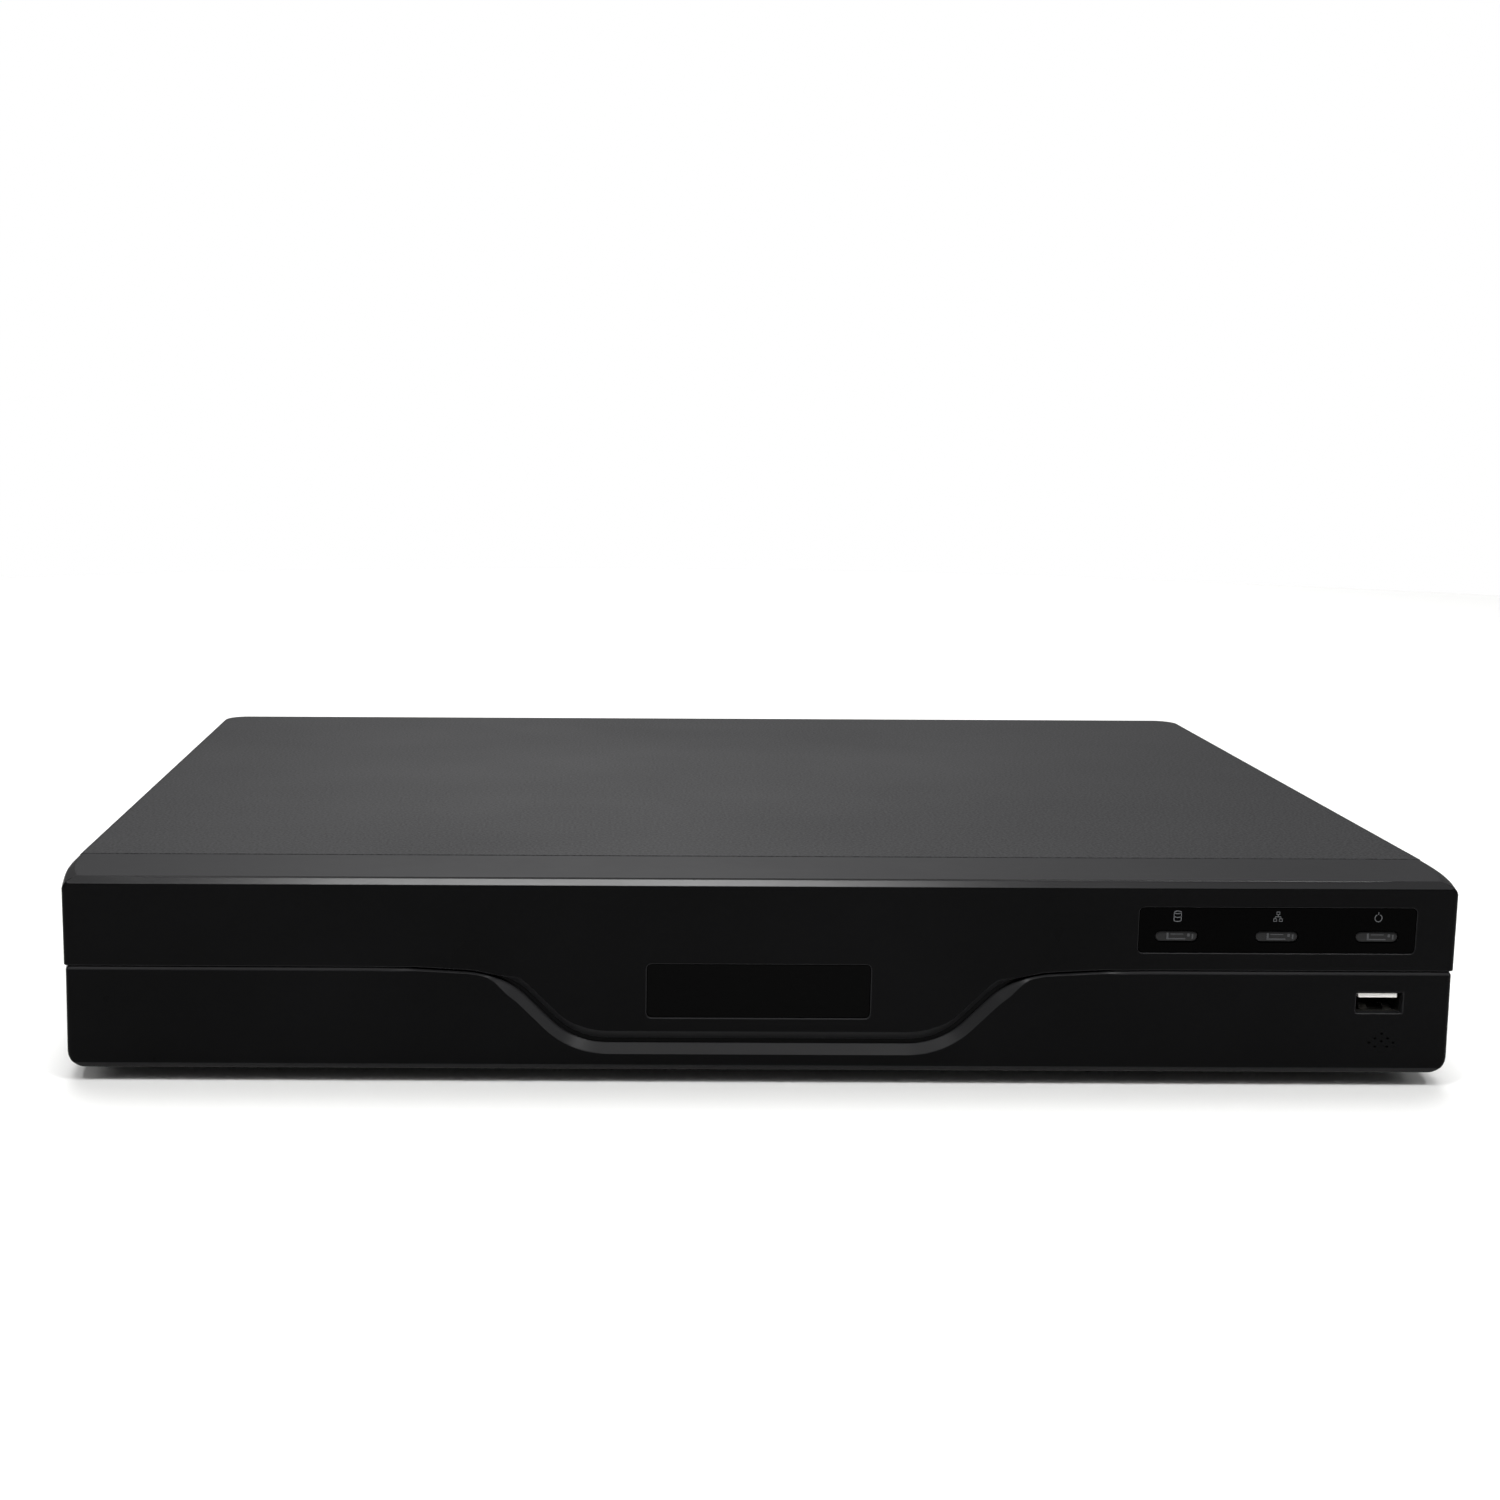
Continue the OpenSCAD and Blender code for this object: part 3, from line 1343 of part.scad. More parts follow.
module drive_arm() color("#b0b3b6") in_row_frame() {
    low = stack_z - platter_gap / 2 - blade_drive_t / 2;
    step = platter_t + platter_gap;
    tail_l = 14.5;
    translate([drive_x + pivot.x, spindle_y + pivot.y, 0]) difference() {
        union() {
            translate([0, 0, low]) cylinder(r = 7, h = platters * step + blade_drive_t);
            for (i = [0 : platters]) translate([0, 0, low + i * step]) rotate(park_angle)
                linear_extrude(blade_drive_t) polygon([[0, -6], [arm_l, -1], [arm_l, 1], [0, 6]]);
            translate([0, 0, low + step]) rotate(park_angle + 180)
                linear_extrude(2) polygon([[0, -6], [tail_l, -9], [tail_l, 9], [0, 6]]);
        }
        translate([0, 0, low - cut]) cylinder(r = pivot_r + running_fit, h = 4 * step);
    }
}

module drive_board() color(board_green) in_row_frame() {
    block(
        [drive_x - 43, drive_y + 62, drive_z + 1.4],
        [drive_x + 43, drive_y + drive_l - 1, drive_z + 1.4 + board_t]
    );
    // Data and power edge connector
    block(
        [drive_x + 2, drive_y + drive_l - 7, drive_z + 1.4 + board_t],
        [drive_x + 40, drive_y + drive_l - 1, drive_z + 3.5]
    );
}

module drive_screws() color(bare_steel) in_row_frame() {
    for (x = [-1, 1], y = drive_screw_y)
        translate([drive_x + x * drive_screw_half, drive_y + y, base_z]) mirror([0, 0, 1])
            pan_screw(3.2, 1.8, drive_screw_r, tray_t + drive_boss_h + 3);
}

drive_end = drive_y + drive_l;
cable_plug_d = 3;
cable_level = board_top + 9;
cable_rise = 2;

// A cable from the hard disk's end to a header on the main board.
module drive_cable(x, wires, wire_w, pitch, thick, header_w) {
    plug_z = drive_z + 2.4;
    board_stop = board_y0 + 10;
    translate([x, 0, 0]) {
        block([-header_w / 2, drive_end - 1, plug_z - 1.8], [header_w / 2, drive_end, plug_z + 1]);
        block([-header_w / 2, drive_end, plug_z - 2], [header_w / 2, drive_end + cable_plug_d, plug_z + 2.4]);
        block([-header_w / 2, board_stop - 2.4, board_top], [header_w / 2, board_stop + 2.4, cable_level]);
        for (i = [0 : wires - 1]) translate([(i - (wires - 1) / 2) * pitch, 0, 0]) flat_cable([
            [drive_end + cable_plug_d - 0.2, plug_z], [drive_end + cable_plug_d + 1, plug_z + 1],
            [drive_end + cable_plug_d + 1.4, plug_z + 3], [board_y0 - 2, cable_level - 2],
            [board_y0, cable_level + cable_rise - 0.6], [board_y0 + 3, cable_level + cable_rise],
            [board_stop - 2, cable_level + cable_rise - 0.3], [board_stop, cable_level - 0.2]
        ], thick, wire_w);
    }
}

module drive_data_cable() color("#a8322c") in_row_frame() {
    drive_cable(drive_x + 10, 1, 8, 8, 1.2, 11);
}

module drive_power_cable() color("#2b2b2e") in_row_frame() {
    drive_cable(drive_x + 31, 4, 1.5, 2.4, 1.5, 16);
}

top_cover();
cover_screws();
base_tray();
rear_panel();
rubber_feet();
bezel_upper();
bezel_lower();
badge_plate();
led_window();
light_pipes();
front_board();
led_chips();
front_usb_shell();
front_usb_tongue();
front_ribbon_cable();
main_board();
board_standoffs();
board_screws();
processor();
heat_sink();
memory_chips();
capacitors();
coin_cell();
buzzer();
bnc_housings();
bnc_shells();
bnc_insulators();
bnc_contacts();
rca_housings();
rca_shells();
rca_inserts();
vga_shell();
vga_insert();
vga_jackscrews();
hdmi_shell();
hdmi_tongue();
lan_shield();
lan_housing();
rear_usb_shell();
rear_usb_tongues();
dc_jack_body();
dc_jack_pin();
switch_housing();
switch_rocker();
terminal_socket();
terminal_plug();
terminal_screws();
ground_screw();
fan_frame();
fan_rotor();
fan_guard();
fan_screws();
drive_base();
drive_lid();
drive_platters();
drive_arm();
drive_board();
drive_screws();
drive_data_cable();
drive_power_cable();
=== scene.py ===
"""Desktop video recorder: the looks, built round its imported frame, in metres.

The sections follow the case from its cover and bezel to the sockets at the rear and the parts inside."""

import math

import bmesh
import bpy
from mathutils import Matrix, Vector


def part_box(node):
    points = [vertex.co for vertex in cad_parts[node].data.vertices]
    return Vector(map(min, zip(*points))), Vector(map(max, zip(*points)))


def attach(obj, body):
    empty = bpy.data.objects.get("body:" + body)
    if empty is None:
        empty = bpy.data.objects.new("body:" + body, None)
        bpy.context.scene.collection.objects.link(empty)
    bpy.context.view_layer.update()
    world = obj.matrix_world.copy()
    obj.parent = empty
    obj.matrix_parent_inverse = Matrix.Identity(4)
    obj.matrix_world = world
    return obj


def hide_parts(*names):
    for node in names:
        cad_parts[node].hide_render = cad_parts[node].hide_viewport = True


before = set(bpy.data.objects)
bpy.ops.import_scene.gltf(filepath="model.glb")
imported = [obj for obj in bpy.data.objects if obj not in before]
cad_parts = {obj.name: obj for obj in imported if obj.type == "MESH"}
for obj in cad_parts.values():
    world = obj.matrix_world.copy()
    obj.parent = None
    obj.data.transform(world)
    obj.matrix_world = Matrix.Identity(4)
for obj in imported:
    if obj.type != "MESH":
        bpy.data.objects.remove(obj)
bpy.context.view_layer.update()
MM = 0.001


# ---- The studio ----
# A white laminate table under a wide overhead diffuser, with soft boxes in front and at both sides.
# A strip behind the case puts the long soft shine on the bezel's brow. A 50 mm lens looks slightly
# down at the front, from a little left of its middle.

front_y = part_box("bezel_upper")[0].y
scene = bpy.context.scene
scene.view_settings.view_transform = "Standard"


def linear(code):
    """An sRGB hex colour as linear red, green, blue and an alpha of 1."""
    channels = [int(code[i:i + 2], 16) / 255 for i in (1, 3, 5)]
    return tuple(c / 12.92 if c <= 0.04045 else ((c + 0.055) / 1.055) ** 2.4 for c in channels) + (1,)


def add(material, kind, values={}, links={}):
    """Adds a node to a material or world, sets its values and links its inputs.
    Each name is a socket's name or number, or else one of the node's own settings."""
    made = material.node_tree.nodes.new(kind)
    for name, value in values.items():
        if isinstance(name, int) or name in made.inputs:
            made.inputs[name].default_value = value
        else:
            setattr(made, name, value)
    for name, source in links.items():
        material.node_tree.links.new(source, made.inputs[name])
    return made


def new_material(name):
    """An empty material with its output node, ready for a shader."""
    material = bpy.data.materials.new(name)
    material.use_nodes = True
    material.node_tree.nodes.clear()
    return material


def look_along(ahead, right):
    """The rotation of a camera or lamp that faces ahead, with its right side given."""
    up = right.cross(ahead)
    return Matrix((right, up, -ahead)).transposed().to_4x4()


turn, tip, roll = math.radians(0.107), math.radians(9.76), math.radians(-0.285)
ahead = Vector((math.sin(turn) * math.cos(tip), math.cos(turn) * math.cos(tip), -math.sin(tip)))
level_right = Vector((math.cos(turn), -math.sin(turn), 0))
level_down = ahead.cross(level_right)
lens_right = level_right * math.cos(roll) + level_down * math.sin(roll)
lens_at = Vector((-48.2 * MM, front_y - 535.8 * MM, 183.5 * MM))
camera_data = bpy.data.cameras.new("camera")
camera_data.lens = 50
camera_data.sensor_width = 36
camera_data.shift_x = 0.1116
camera_data.clip_start = 0.01
camera = bpy.data.objects.new("camera", camera_data)
camera.matrix_world = Matrix.Translation(lens_at) @ look_along(ahead, lens_right)
scene.collection.objects.link(camera)
scene.camera = camera


def soft_box(name, at, target, width, height, power):
    """A rectangular lamp that faces a target."""
    data = bpy.data.lights.new(name, "AREA")
    data.shape = "RECTANGLE"
    data.size, data.size_y, data.energy = width, height, power
    lamp = bpy.data.objects.new(name, data)
    way = (Vector(target) - Vector(at)).normalized()
    side = way.cross(Vector((0, 0, 1)))
    side = side.normalized() if side.length > 0.01 else Vector((1, 0, 0))
    lamp.matrix_world = Matrix.Translation(at) @ look_along(way, side)
    scene.collection.objects.link(lamp)


# Overhead is a wide round diffuser, far enough off to light the whole table evenly.
diffuser = bpy.data.lights.new("overhead_diffuser", "SUN")
diffuser.energy, diffuser.angle = 2.3, math.radians(36)
overhead = bpy.data.objects.new("overhead_diffuser", diffuser)
overhead.rotation_euler = (math.radians(-21), 0, 0)
scene.collection.objects.link(overhead)

# The soft boxes in front light the face and its chamfers, and the small ones the bezel's corners.
face_middle, brow_middle = (0, -0.1, 0.03), (0, -0.1, 0.05)
soft_box("front_box", (0, -1.05, 1.5), face_middle, 1.0, 0.5, 8)
for side in (-1, 1):
    soft_box("side_box", (side * 1.3, -0.85, 0.9), face_middle, 0.6, 0.6, 5)
    soft_box("corner_box", (side * 0.68, -0.95, 1.42), face_middle, 0.16, 0.2, 10)
soft_box("rear_strip", (-0.03, 1.5, 1.16), brow_middle, 0.7, 0.5, 10)

# The room beyond the table is plain white card, dimmer to the object than to the eye.
world = bpy.data.worlds.new("white_card")
scene.world = world
world.use_nodes = True
world.node_tree.nodes.clear()
path = add(world, "ShaderNodeLightPath")
card = add(world, "ShaderNodeBackground", {"Color": linear("#ffffff"), "Strength": 1.0})
dim_card = add(world, "ShaderNodeBackground", {"Color": linear("#ffffff"), "Strength": 0.2})
room = add(world, "ShaderNodeMixShader", {},
           {"Fac": path.outputs["Is Camera Ray"], 1: dim_card.outputs[0], 2: card.outputs[0]})
add(world, "ShaderNodeOutputWorld", {}, {"Surface": room.outputs[0]})

# Matt white laminate table top, whose fine grain only shows close up.
laminate = new_material("white_laminate")
grain = add(laminate, "ShaderNodeTexNoise", {"Scale": 900, "Detail": 3})
grain_bump = add(laminate, "ShaderNodeBump", {"Strength": 0.05, "Distance": 0.1 * MM},
                 {"Height": grain.outputs["Fac"]})
laminate_shader = add(laminate, "ShaderNodeBsdfPrincipled",
                      {"Base Color": linear("#e7e7e6"), "Roughness": 0.55},
                      {"Normal": grain_bump.outputs["Normal"]})
add(laminate, "ShaderNodeOutputMaterial", {}, {"Surface": laminate_shader.outputs[0]})
table_mesh = bpy.data.meshes.new("table")
table_bm = bmesh.new()
bmesh.ops.create_circle(table_bm, cap_ends=True, radius=1.5, segments=96)
table_bm.to_mesh(table_mesh)
table_bm.free()
table_mesh.materials.append(laminate)
table = bpy.data.objects.new("table", table_mesh)
scene.collection.objects.link(table)


# ---- Top cover ----
# One sheet of 0.8 mm steel, folded down at both sides and round the rear, with pressed vent slots.
# It is powder coated black: a satin skin with a fine, even pebble that greys it at a low angle,
# with painted shade in the pebbles' gaps and painted light on their tops.


def powder_coat(name, colour, shine):
    """Baked polyester powder on steel: pebbles 0.4 mm across, drawn as coarse as they need to show,
    with painted shade in their gaps and painted light on their tops, and a soft sheen that varies a little."""
    pebble_size = 0.4 * MM
    material = new_material(name)
    place = add(material, "ShaderNodeTexCoord")
    pebble = add(material, "ShaderNodeTexNoise",
                 {"Scale": 1 / (2 * pebble_size), "Detail": 2, "Roughness": 0.6},
                 {"Vector": place.outputs["Object"]})
    # Painted shade and light: the tone follows the pebbles' height, darker in their gaps and paler on their
    # tops.
    painted_pebble_shade = add(material, "ShaderNodeMapRange", {"From Min": 0.38, "From Max": 0.62},
                  {"Value": pebble.outputs["Fac"]})
    tone = add(material, "ShaderNodeMix", {"data_type": "RGBA", 6: linear(colour[0]), 7: linear(colour[1])},
               {0: painted_pebble_shade.outputs[0]})
    cloud = add(material, "ShaderNodeTexNoise", {"Scale": 1 / (120 * MM), "Detail": 3},
                {"Vector": place.outputs["Object"]})
    rough = add(material, "ShaderNodeMapRange",
                {"From Min": 0.3, "From Max": 0.7, "To Min": shine - 0.04, "To Max": shine + 0.06},
                {"Value": cloud.outputs["Fac"]})
    bump = add(material, "ShaderNodeBump", {"Strength": 0.35, "Distance": 0.1 * pebble_size},
               {"Height": pebble.outputs["Fac"]})
    shader = add(material, "ShaderNodeBsdfPrincipled", {"Specular IOR Level": 0.06},
                 {"Base Color": tone.outputs[2], "Roughness": rough.outputs[0],
                  "Normal": bump.outputs["Normal"]})
    add(material, "ShaderNodeOutputMaterial", {}, {"Surface": shader.outputs[0]})
    return material


def fillet(points, radius, steps=4):
    """A line with its inner corners rounded. Each corner takes up to radius of both its sides."""
    made = [Vector(points[0])]
    for i in range(1, len(points) - 1):
        before, here, after = (Vector(p) for p in points[i - 1:i + 2])
        size = radius[i] if isinstance(radius, (list, tuple)) else radius
        start = here + (before - here).normalized() * min(size, (before - here).length * 0.49)
        stop = here + (after - here).normalized() * min(size, (after - here).length * 0.49)
        for k in range(steps + 1):
            t = k / steps
            made.append(start * (1 - t) ** 2 + here * 2 * t * (1 - t) + stop * t ** 2)
    made.append(Vector(points[-1]))
    return made


def loft(bm, rings, closed=False):
    """Joins rows of points, all of one length, with quads, and gives back the rows' vertices."""
    rows = [[bm.verts.new(p) for p in ring] for ring in rings]
    count = len(rows[0])
    for a, b in zip(rows, rows[1:]):
        for i in range(count if closed else count - 1):
            j = (i + 1) % count
            bm.faces.new((a[i], a[j], b[j], b[i]))
    return rows


def as_object(name, bm, material=None, smooth_angle=30):
    """A new object from a mesh under construction, its normals outward and its flats kept flat."""
    bmesh.ops.remove_doubles(bm, verts=bm.verts, dist=1e-7)
    bmesh.ops.recalc_face_normals(bm, faces=bm.faces)
    mesh = bpy.data.meshes.new(name)
    bm.to_mesh(mesh)
    bm.free()
    mesh.shade_smooth()
    mesh.set_sharp_from_angle(angle=math.radians(smooth_angle))
    piece = bpy.data.objects.new(name, mesh)
    scene.collection.objects.link(piece)
    if material:
        mesh.materials.append(material)
    return piece


def apply_modifiers(piece, smooth_angle=30):
    """Turns a piece's modifiers into its mesh."""
    bpy.context.view_layer.update()
    made = bpy.data.meshes.new_from_object(piece.evaluated_get(bpy.context.evaluated_depsgraph_get()))
    piece.modifiers.clear()
    piece.data = made
    made.shade_smooth()
    made.set_sharp_from_angle(angle=math.radians(smooth_angle))


def cut_with(piece, cutter):
    """Takes a cutter's shape out of a piece, and removes the cutter."""
    cutting = piece.modifiers.new("cut", "BOOLEAN")
    cutting.operation, cutting.solver, cutting.object = "DIFFERENCE", "EXACT", cutter
    apply_modifiers(piece)
    bpy.data.objects.remove(cutter)


def ease_edges(piece, width, segments=2, angle=40):
    """Rounds a piece's hard edges by a small radius and keeps its flats flat."""
    bevel = piece.modifiers.new("ease", "BEVEL")
    bevel.width, bevel.segments, bevel.limit_method = width, segments, "ANGLE"
    bevel.angle_limit = math.radians(angle)
    apply_modifiers(piece, 35)


def dress(material, *nodes):
    """Gives nodes of the frame a material."""
    for node in nodes:
        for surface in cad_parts[node].material_slots:
            surface.material = material


def finish_piece(piece, material, body="case", instead_of=()):
    """Gives a piece its material (None keeps those it has) and its body, and hides the CAD nodes it stands
    for.
    """
    if material:
        piece.data.materials.clear()
        piece.data.materials.append(material)
    weigh = piece.modifiers.new("weigh", "WEIGHTED_NORMAL")
    weigh.keep_sharp, weigh.weight = True, 90
    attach(piece, body)
    if instead_of:
        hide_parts(*instead_of)
    return piece


def stadium(length, height, steps=8):
    """Outline of a slot with round ends, along X."""
    r = height / 2
    half = length / 2 - r
    turns = [math.pi * i / steps for i in range(steps + 1)]
    right_end = [(half + r * math.sin(a), -r * math.cos(a)) for a in turns]
    return right_end + [(-x, -y) for x, y in right_end]


def rounded_rect(width, height, radius, steps=5):
    """Outline of a rectangle with round corners."""
    points = []
    for k, (sx, sy) in enumerate(((1, -1), (1, 1), (-1, 1), (-1, -1))):
        for i in range(steps + 1):
            a = math.radians(-90 + 90 * k + 90 * i / steps)
            points.append((sx * (width / 2 - radius) + radius * math.cos(a),
                           sy * (height / 2 - radius) + radius * math.sin(a)))
    return points


def prism(bm, outline, place, levels):
    """A solid from an outline, moved by place at each (depth, scale-out) level, with both ends capped."""
    rings = []
    for depth, grow in levels:
        ring = []
        for i, (x, y) in enumerate(outline):
            before, after = Vector(outline[i - 1]), Vector(outline[(i + 1) % len(outline)])
            along = (after - before).normalized()
            normal = Vector((along.y, -along.x))
            ring.append(place(x + normal.x * grow, y + normal.y * grow, depth))
        rings.append(ring)
    rows = loft(bm, rings, closed=True)
    bm.faces.new(rows[0])
    bm.faces.new(list(reversed(rows[-1])))


cover_low, cover_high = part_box("top_cover")
sheet = 0.8 * MM
cover_bend = 1.6 * MM
cover_corner = 8.5 * MM
corner_steps = 8
cover_plan = [(cover_low.x, cover_low.y, -1, 0)]  # each point of the plan with its outward normal
for k, (sx, start) in enumerate(((-1, 180), (1, 90))):
    for i in range(corner_steps + 1):
        a = math.radians(start - 90 * i / corner_steps)
        nx, ny = math.cos(a), math.sin(a)
        cover_plan.append((sx * (cover_high.x - cover_corner) + cover_corner * nx,
                           cover_high.y - cover_corner + cover_corner * ny, nx, ny))
cover_plan.append((cover_high.x, cover_low.y, 1, 0))
cover_section = fillet([(0, cover_low.z), (0, cover_high.z), (cover_bend * 1.5, cover_high.z)], cover_bend, 5)
cover_bm = bmesh.new()
rows = loft(cover_bm, [[(x - nx * p.x, y - ny * p.x, p.y) for p in cover_section]
                       for x, y, nx, ny in cover_plan])
cover_bm.faces.new([row[-1] for row in rows])
cover = as_object("top_cover_sheet", cover_bm)
thicken = cover.modifiers.new("thicken", "SOLIDIFY")
thicken.thickness, thicken.offset = sheet, -1
apply_modifiers(cover)

# The vent slots in both sides and the opening for the rear panel are punched.
punch_bm = bmesh.new()
punch_reach = 3 * MM
vent_l, vent_h = 12 * MM, 2.4 * MM
vent_rows, vent_columns, vent_pitch = 3, 9, (17 * MM, 7 * MM)
side_screw_z = cover_low.z + 8 * MM
vent_middle = ((cover_low.y + cover_high.y) / 2, (side_screw_z + cover_high.z) / 2)
for row in range(vent_rows):
    for column in range(vent_columns):
        y = vent_middle[0] + (column - (vent_columns - 1) / 2) * vent_pitch[0]
        z = vent_middle[1] + (row - (vent_rows - 1) / 2) * vent_pitch[1]
        for side in (-1, 1):
            prism(punch_bm, stadium(vent_l, vent_h), lambda u, v, d: (d, y + u, z + v),
                  [(side * cover_high.x - punch_reach, 0), (side * cover_high.x + punch_reach, 0)])
lip_w = 7 * MM
half_open = cover_high.x - cover_corner - lip_w
open_top, open_bottom = cover_high.z - lip_w, cover_low.z - 20 * MM
prism(punch_bm, rounded_rect(2 * half_open, open_top - open_bottom, 1 * MM),
      lambda u, v, d: (u, d, v + (open_top + open_bottom) / 2),
      [(cover_high.y - punch_reach, 0), (cover_high.y + punch_reach, 0)])
punch = as_object("punch", punch_bm)
cut_with(cover, punch)
ease_edges(cover, 0.28 * MM, 3)
# Satin black powder: dark grey from above, and paler towards the rear where the table lights it.
coat = powder_coat("satin_black_powder_coat", ("#212122", "#323233"), 0.62)
finish_piece(cover, coat, instead_of=["top_cover"])
dress(coat, "rear_panel")


def bare_metal(name, colour, rough, line_mm, stretch=(1, 1, 1), depth_mm=0.01):
    """Bare or plated metal with fine marks a given distance apart, drawn out along one axis where it
    was brushed, and with a sheen that clouds over every 15 mm or so."""
    material = new_material(name)
    place = add(material, "ShaderNodeTexCoord")
    aim = add(material, "ShaderNodeMapping", {"Scale": stretch}, {"Vector": place.outputs["Object"]})
    marks = add(material, "ShaderNodeTexNoise",
                {"Scale": 1 / (line_mm * MM * 2), "Detail": 3, "Roughness": 0.6}, {"Vector": aim.outputs[0]})
    clouds = add(material, "ShaderNodeTexNoise", {"Scale": 1 / (15 * MM), "Detail": 3},
                 {"Vector": place.outputs["Object"]})
    uneven = add(material, "ShaderNodeMapRange",
                 {"From Min": 0.3, "From Max": 0.7, "To Min": rough * 0.75, "To Max": rough * 1.3},
                 {"Value": clouds.outputs["Fac"]})
    tone = add(material, "ShaderNodeMix", {"data_type": "RGBA", 6: linear(colour[0]), 7: linear(colour[1])},
               {0: clouds.outputs["Fac"]})
    bump = add(material, "ShaderNodeBump", {"Strength": 0.25, "Distance": depth_mm * MM},
               {"Height": marks.outputs["Fac"]})
    shader = add(material, "ShaderNodeBsdfPrincipled", {"Metallic": 1.0},
                 {"Base Color": tone.outputs[2], "Roughness": uneven.outputs[0],
                  "Normal": bump.outputs["Normal"]})
    add(material, "ShaderNodeOutputMaterial", {}, {"Surface": shader.outputs[0]})
    return material


# Zinc plate on cold-rolled steel: bluish grey and bright, with a cloudy spangle.
zinc_plate = bare_metal("zinc_plated_steel", ("#a9adb0", "#c6c9cb"), 0.32, 0.5)
dress(zinc_plate, "cover_screws")


# ---- Bezel ----
# Two hollow mouldings of black ABS, clipped together and to the tray. The upper one comes down in
# front of the lower in a tongue with soft shoulders, and both are bevelled along that dip.
# Their tool was spark eroded, which gives the satin faces a fine, even grain.


def moulded(name, colour, shine, level=0.5, grain_mm=0.25, grain_depth=0.02):
    """Injection-moulded plastic off a spark-eroded tool: an even grain, with a tone and a sheen that
    vary over a few centimetres, as the plastic flowed."""
    material = new_material(name)
    place = add(material, "ShaderNodeTexCoord")
    grain = add(material, "ShaderNodeTexNoise", {"Scale": 1 / (grain_mm * MM * 2), "Detail": 2},
                {"Vector": place.outputs["Object"]})
    flow = add(material, "ShaderNodeTexNoise", {"Scale": 1 / (50 * MM), "Detail": 4, "Roughness": 0.6},
               {"Vector": place.outputs["Object"]})
    rough = add(material, "ShaderNodeMapRange",
                {"clamp": False, "From Min": 0.25, "From Max": 0.75,
                 "To Min": shine - 0.05, "To Max": shine + 0.07}, {"Value": flow.outputs["Fac"]})
    tone = add(material, "ShaderNodeMix", {"data_type": "RGBA", 6: linear(colour[0]), 7: linear(colour[1])},
               {0: flow.outputs["Fac"]})
    bump = add(material, "ShaderNodeBump", {"Strength": 0.3, "Distance": grain_depth * MM},
               {"Height": grain.outputs["Fac"]})
    shader = add(material, "ShaderNodeBsdfPrincipled", {"Specular IOR Level": level},
                 {"Base Color": tone.outputs[2], "Roughness": rough.outputs[0],
                  "Normal": bump.outputs["Normal"]})
    add(material, "ShaderNodeOutputMaterial", {}, {"Surface": shader.outputs[0]})
    return material


half_w, top_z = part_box("bezel_upper")[1].x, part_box("bezel_upper")[1].z
base_z, bezel_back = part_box("bezel_lower")[0].z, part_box("bezel_lower")[1].y
bezel_wall = 2.1 * MM
skin_back, skin_front = 7 * MM, 3.2 * MM  # the inner skin's depth under the top and behind the face
taper = 2.5 * MM
front_corner = 1.4 * MM
lower_round, upper_round, rear_round = 4.5 * MM, 3.4 * MM, 1.2 * MM
seam_z = base_z + 28.2 * MM
dip_z = base_z + 7.2 * MM
dip_foot, shoulder_x, shelf_x = 49 * MM, 68.3 * MM, 98 * MM
dip_fades, shelf_fades = (64.5 * MM, 73 * MM), (90 * MM, 98 * MM)
station_pitch = 3.5 * MM
end_x = half_w - taper - front_corner


def smooth_step(x, start, stop):
    """From 0 at start to 1 at stop, level at both ends."""
    t = min(1, max(0, (x - start) / (stop - start)))
    return t * t * (3 - 2 * t)


def dip_stations():
    """The lower moulding's top edge from the middle to the right end: each point with its normal,
    how far it is in the dip, and how far it is on the sunken shoulder beside the dip."""
    line = [(0, dip_z), (dip_foot, dip_z), (shoulder_x, seam_z - 1.7 * MM), (shelf_x, seam_z - 0.1 * MM),
            (end_x, seam_z - 0.1 * MM)]
    points = fillet(line, [0, 9 * MM, 10 * MM, 8 * MM, 0], 12)
    spaced = []
    for a, b in zip(points, points[1:]):
        count = max(1, round((b - a).length / station_pitch))
        spaced += [a.lerp(b, k / count) for k in range(count)]
    spaced.append(points[-1])
    made = []
    for i, p in enumerate(spaced):
        along = (spaced[min(i + 1, len(spaced) - 1)] - spaced[max(i - 1, 0)]).normalized()
        made.append((p, Vector((-along.y, along.x)), 1 - smooth_step(p.x, *dip_fades),
                     1 - smooth_step(p.x, *shelf_fades)))
    return made


lean_at_seam, lean_lost = 0.45 * MM, 0.4 * MM


def end_inset(z, draft, top_round=upper_round):
    """How far in from the side the end stands at a height: its two rounds and its draft, which is
    greatest at the seam."""
    inset = draft * (lean_at_seam - lean_lost * max(0, (seam_z - z) / (seam_z - base_z)))
    for radius, depth in ((lower_round, lower_round - (z - base_z)),
                          (top_round, top_round - (top_z - z))):
        if depth > 0:
            inset += radius - math.sqrt(max(0, radius * radius - depth * depth))
    return inset


front_widens = (110 * MM, 180 * MM)  # between these the front's columns spread to meet the ends
side_stops, side_curve = (0.05, 0.12, 0.22, 0.35, 0.5, 0.7, 0.97, 1), 2.6
corner_arc = 6


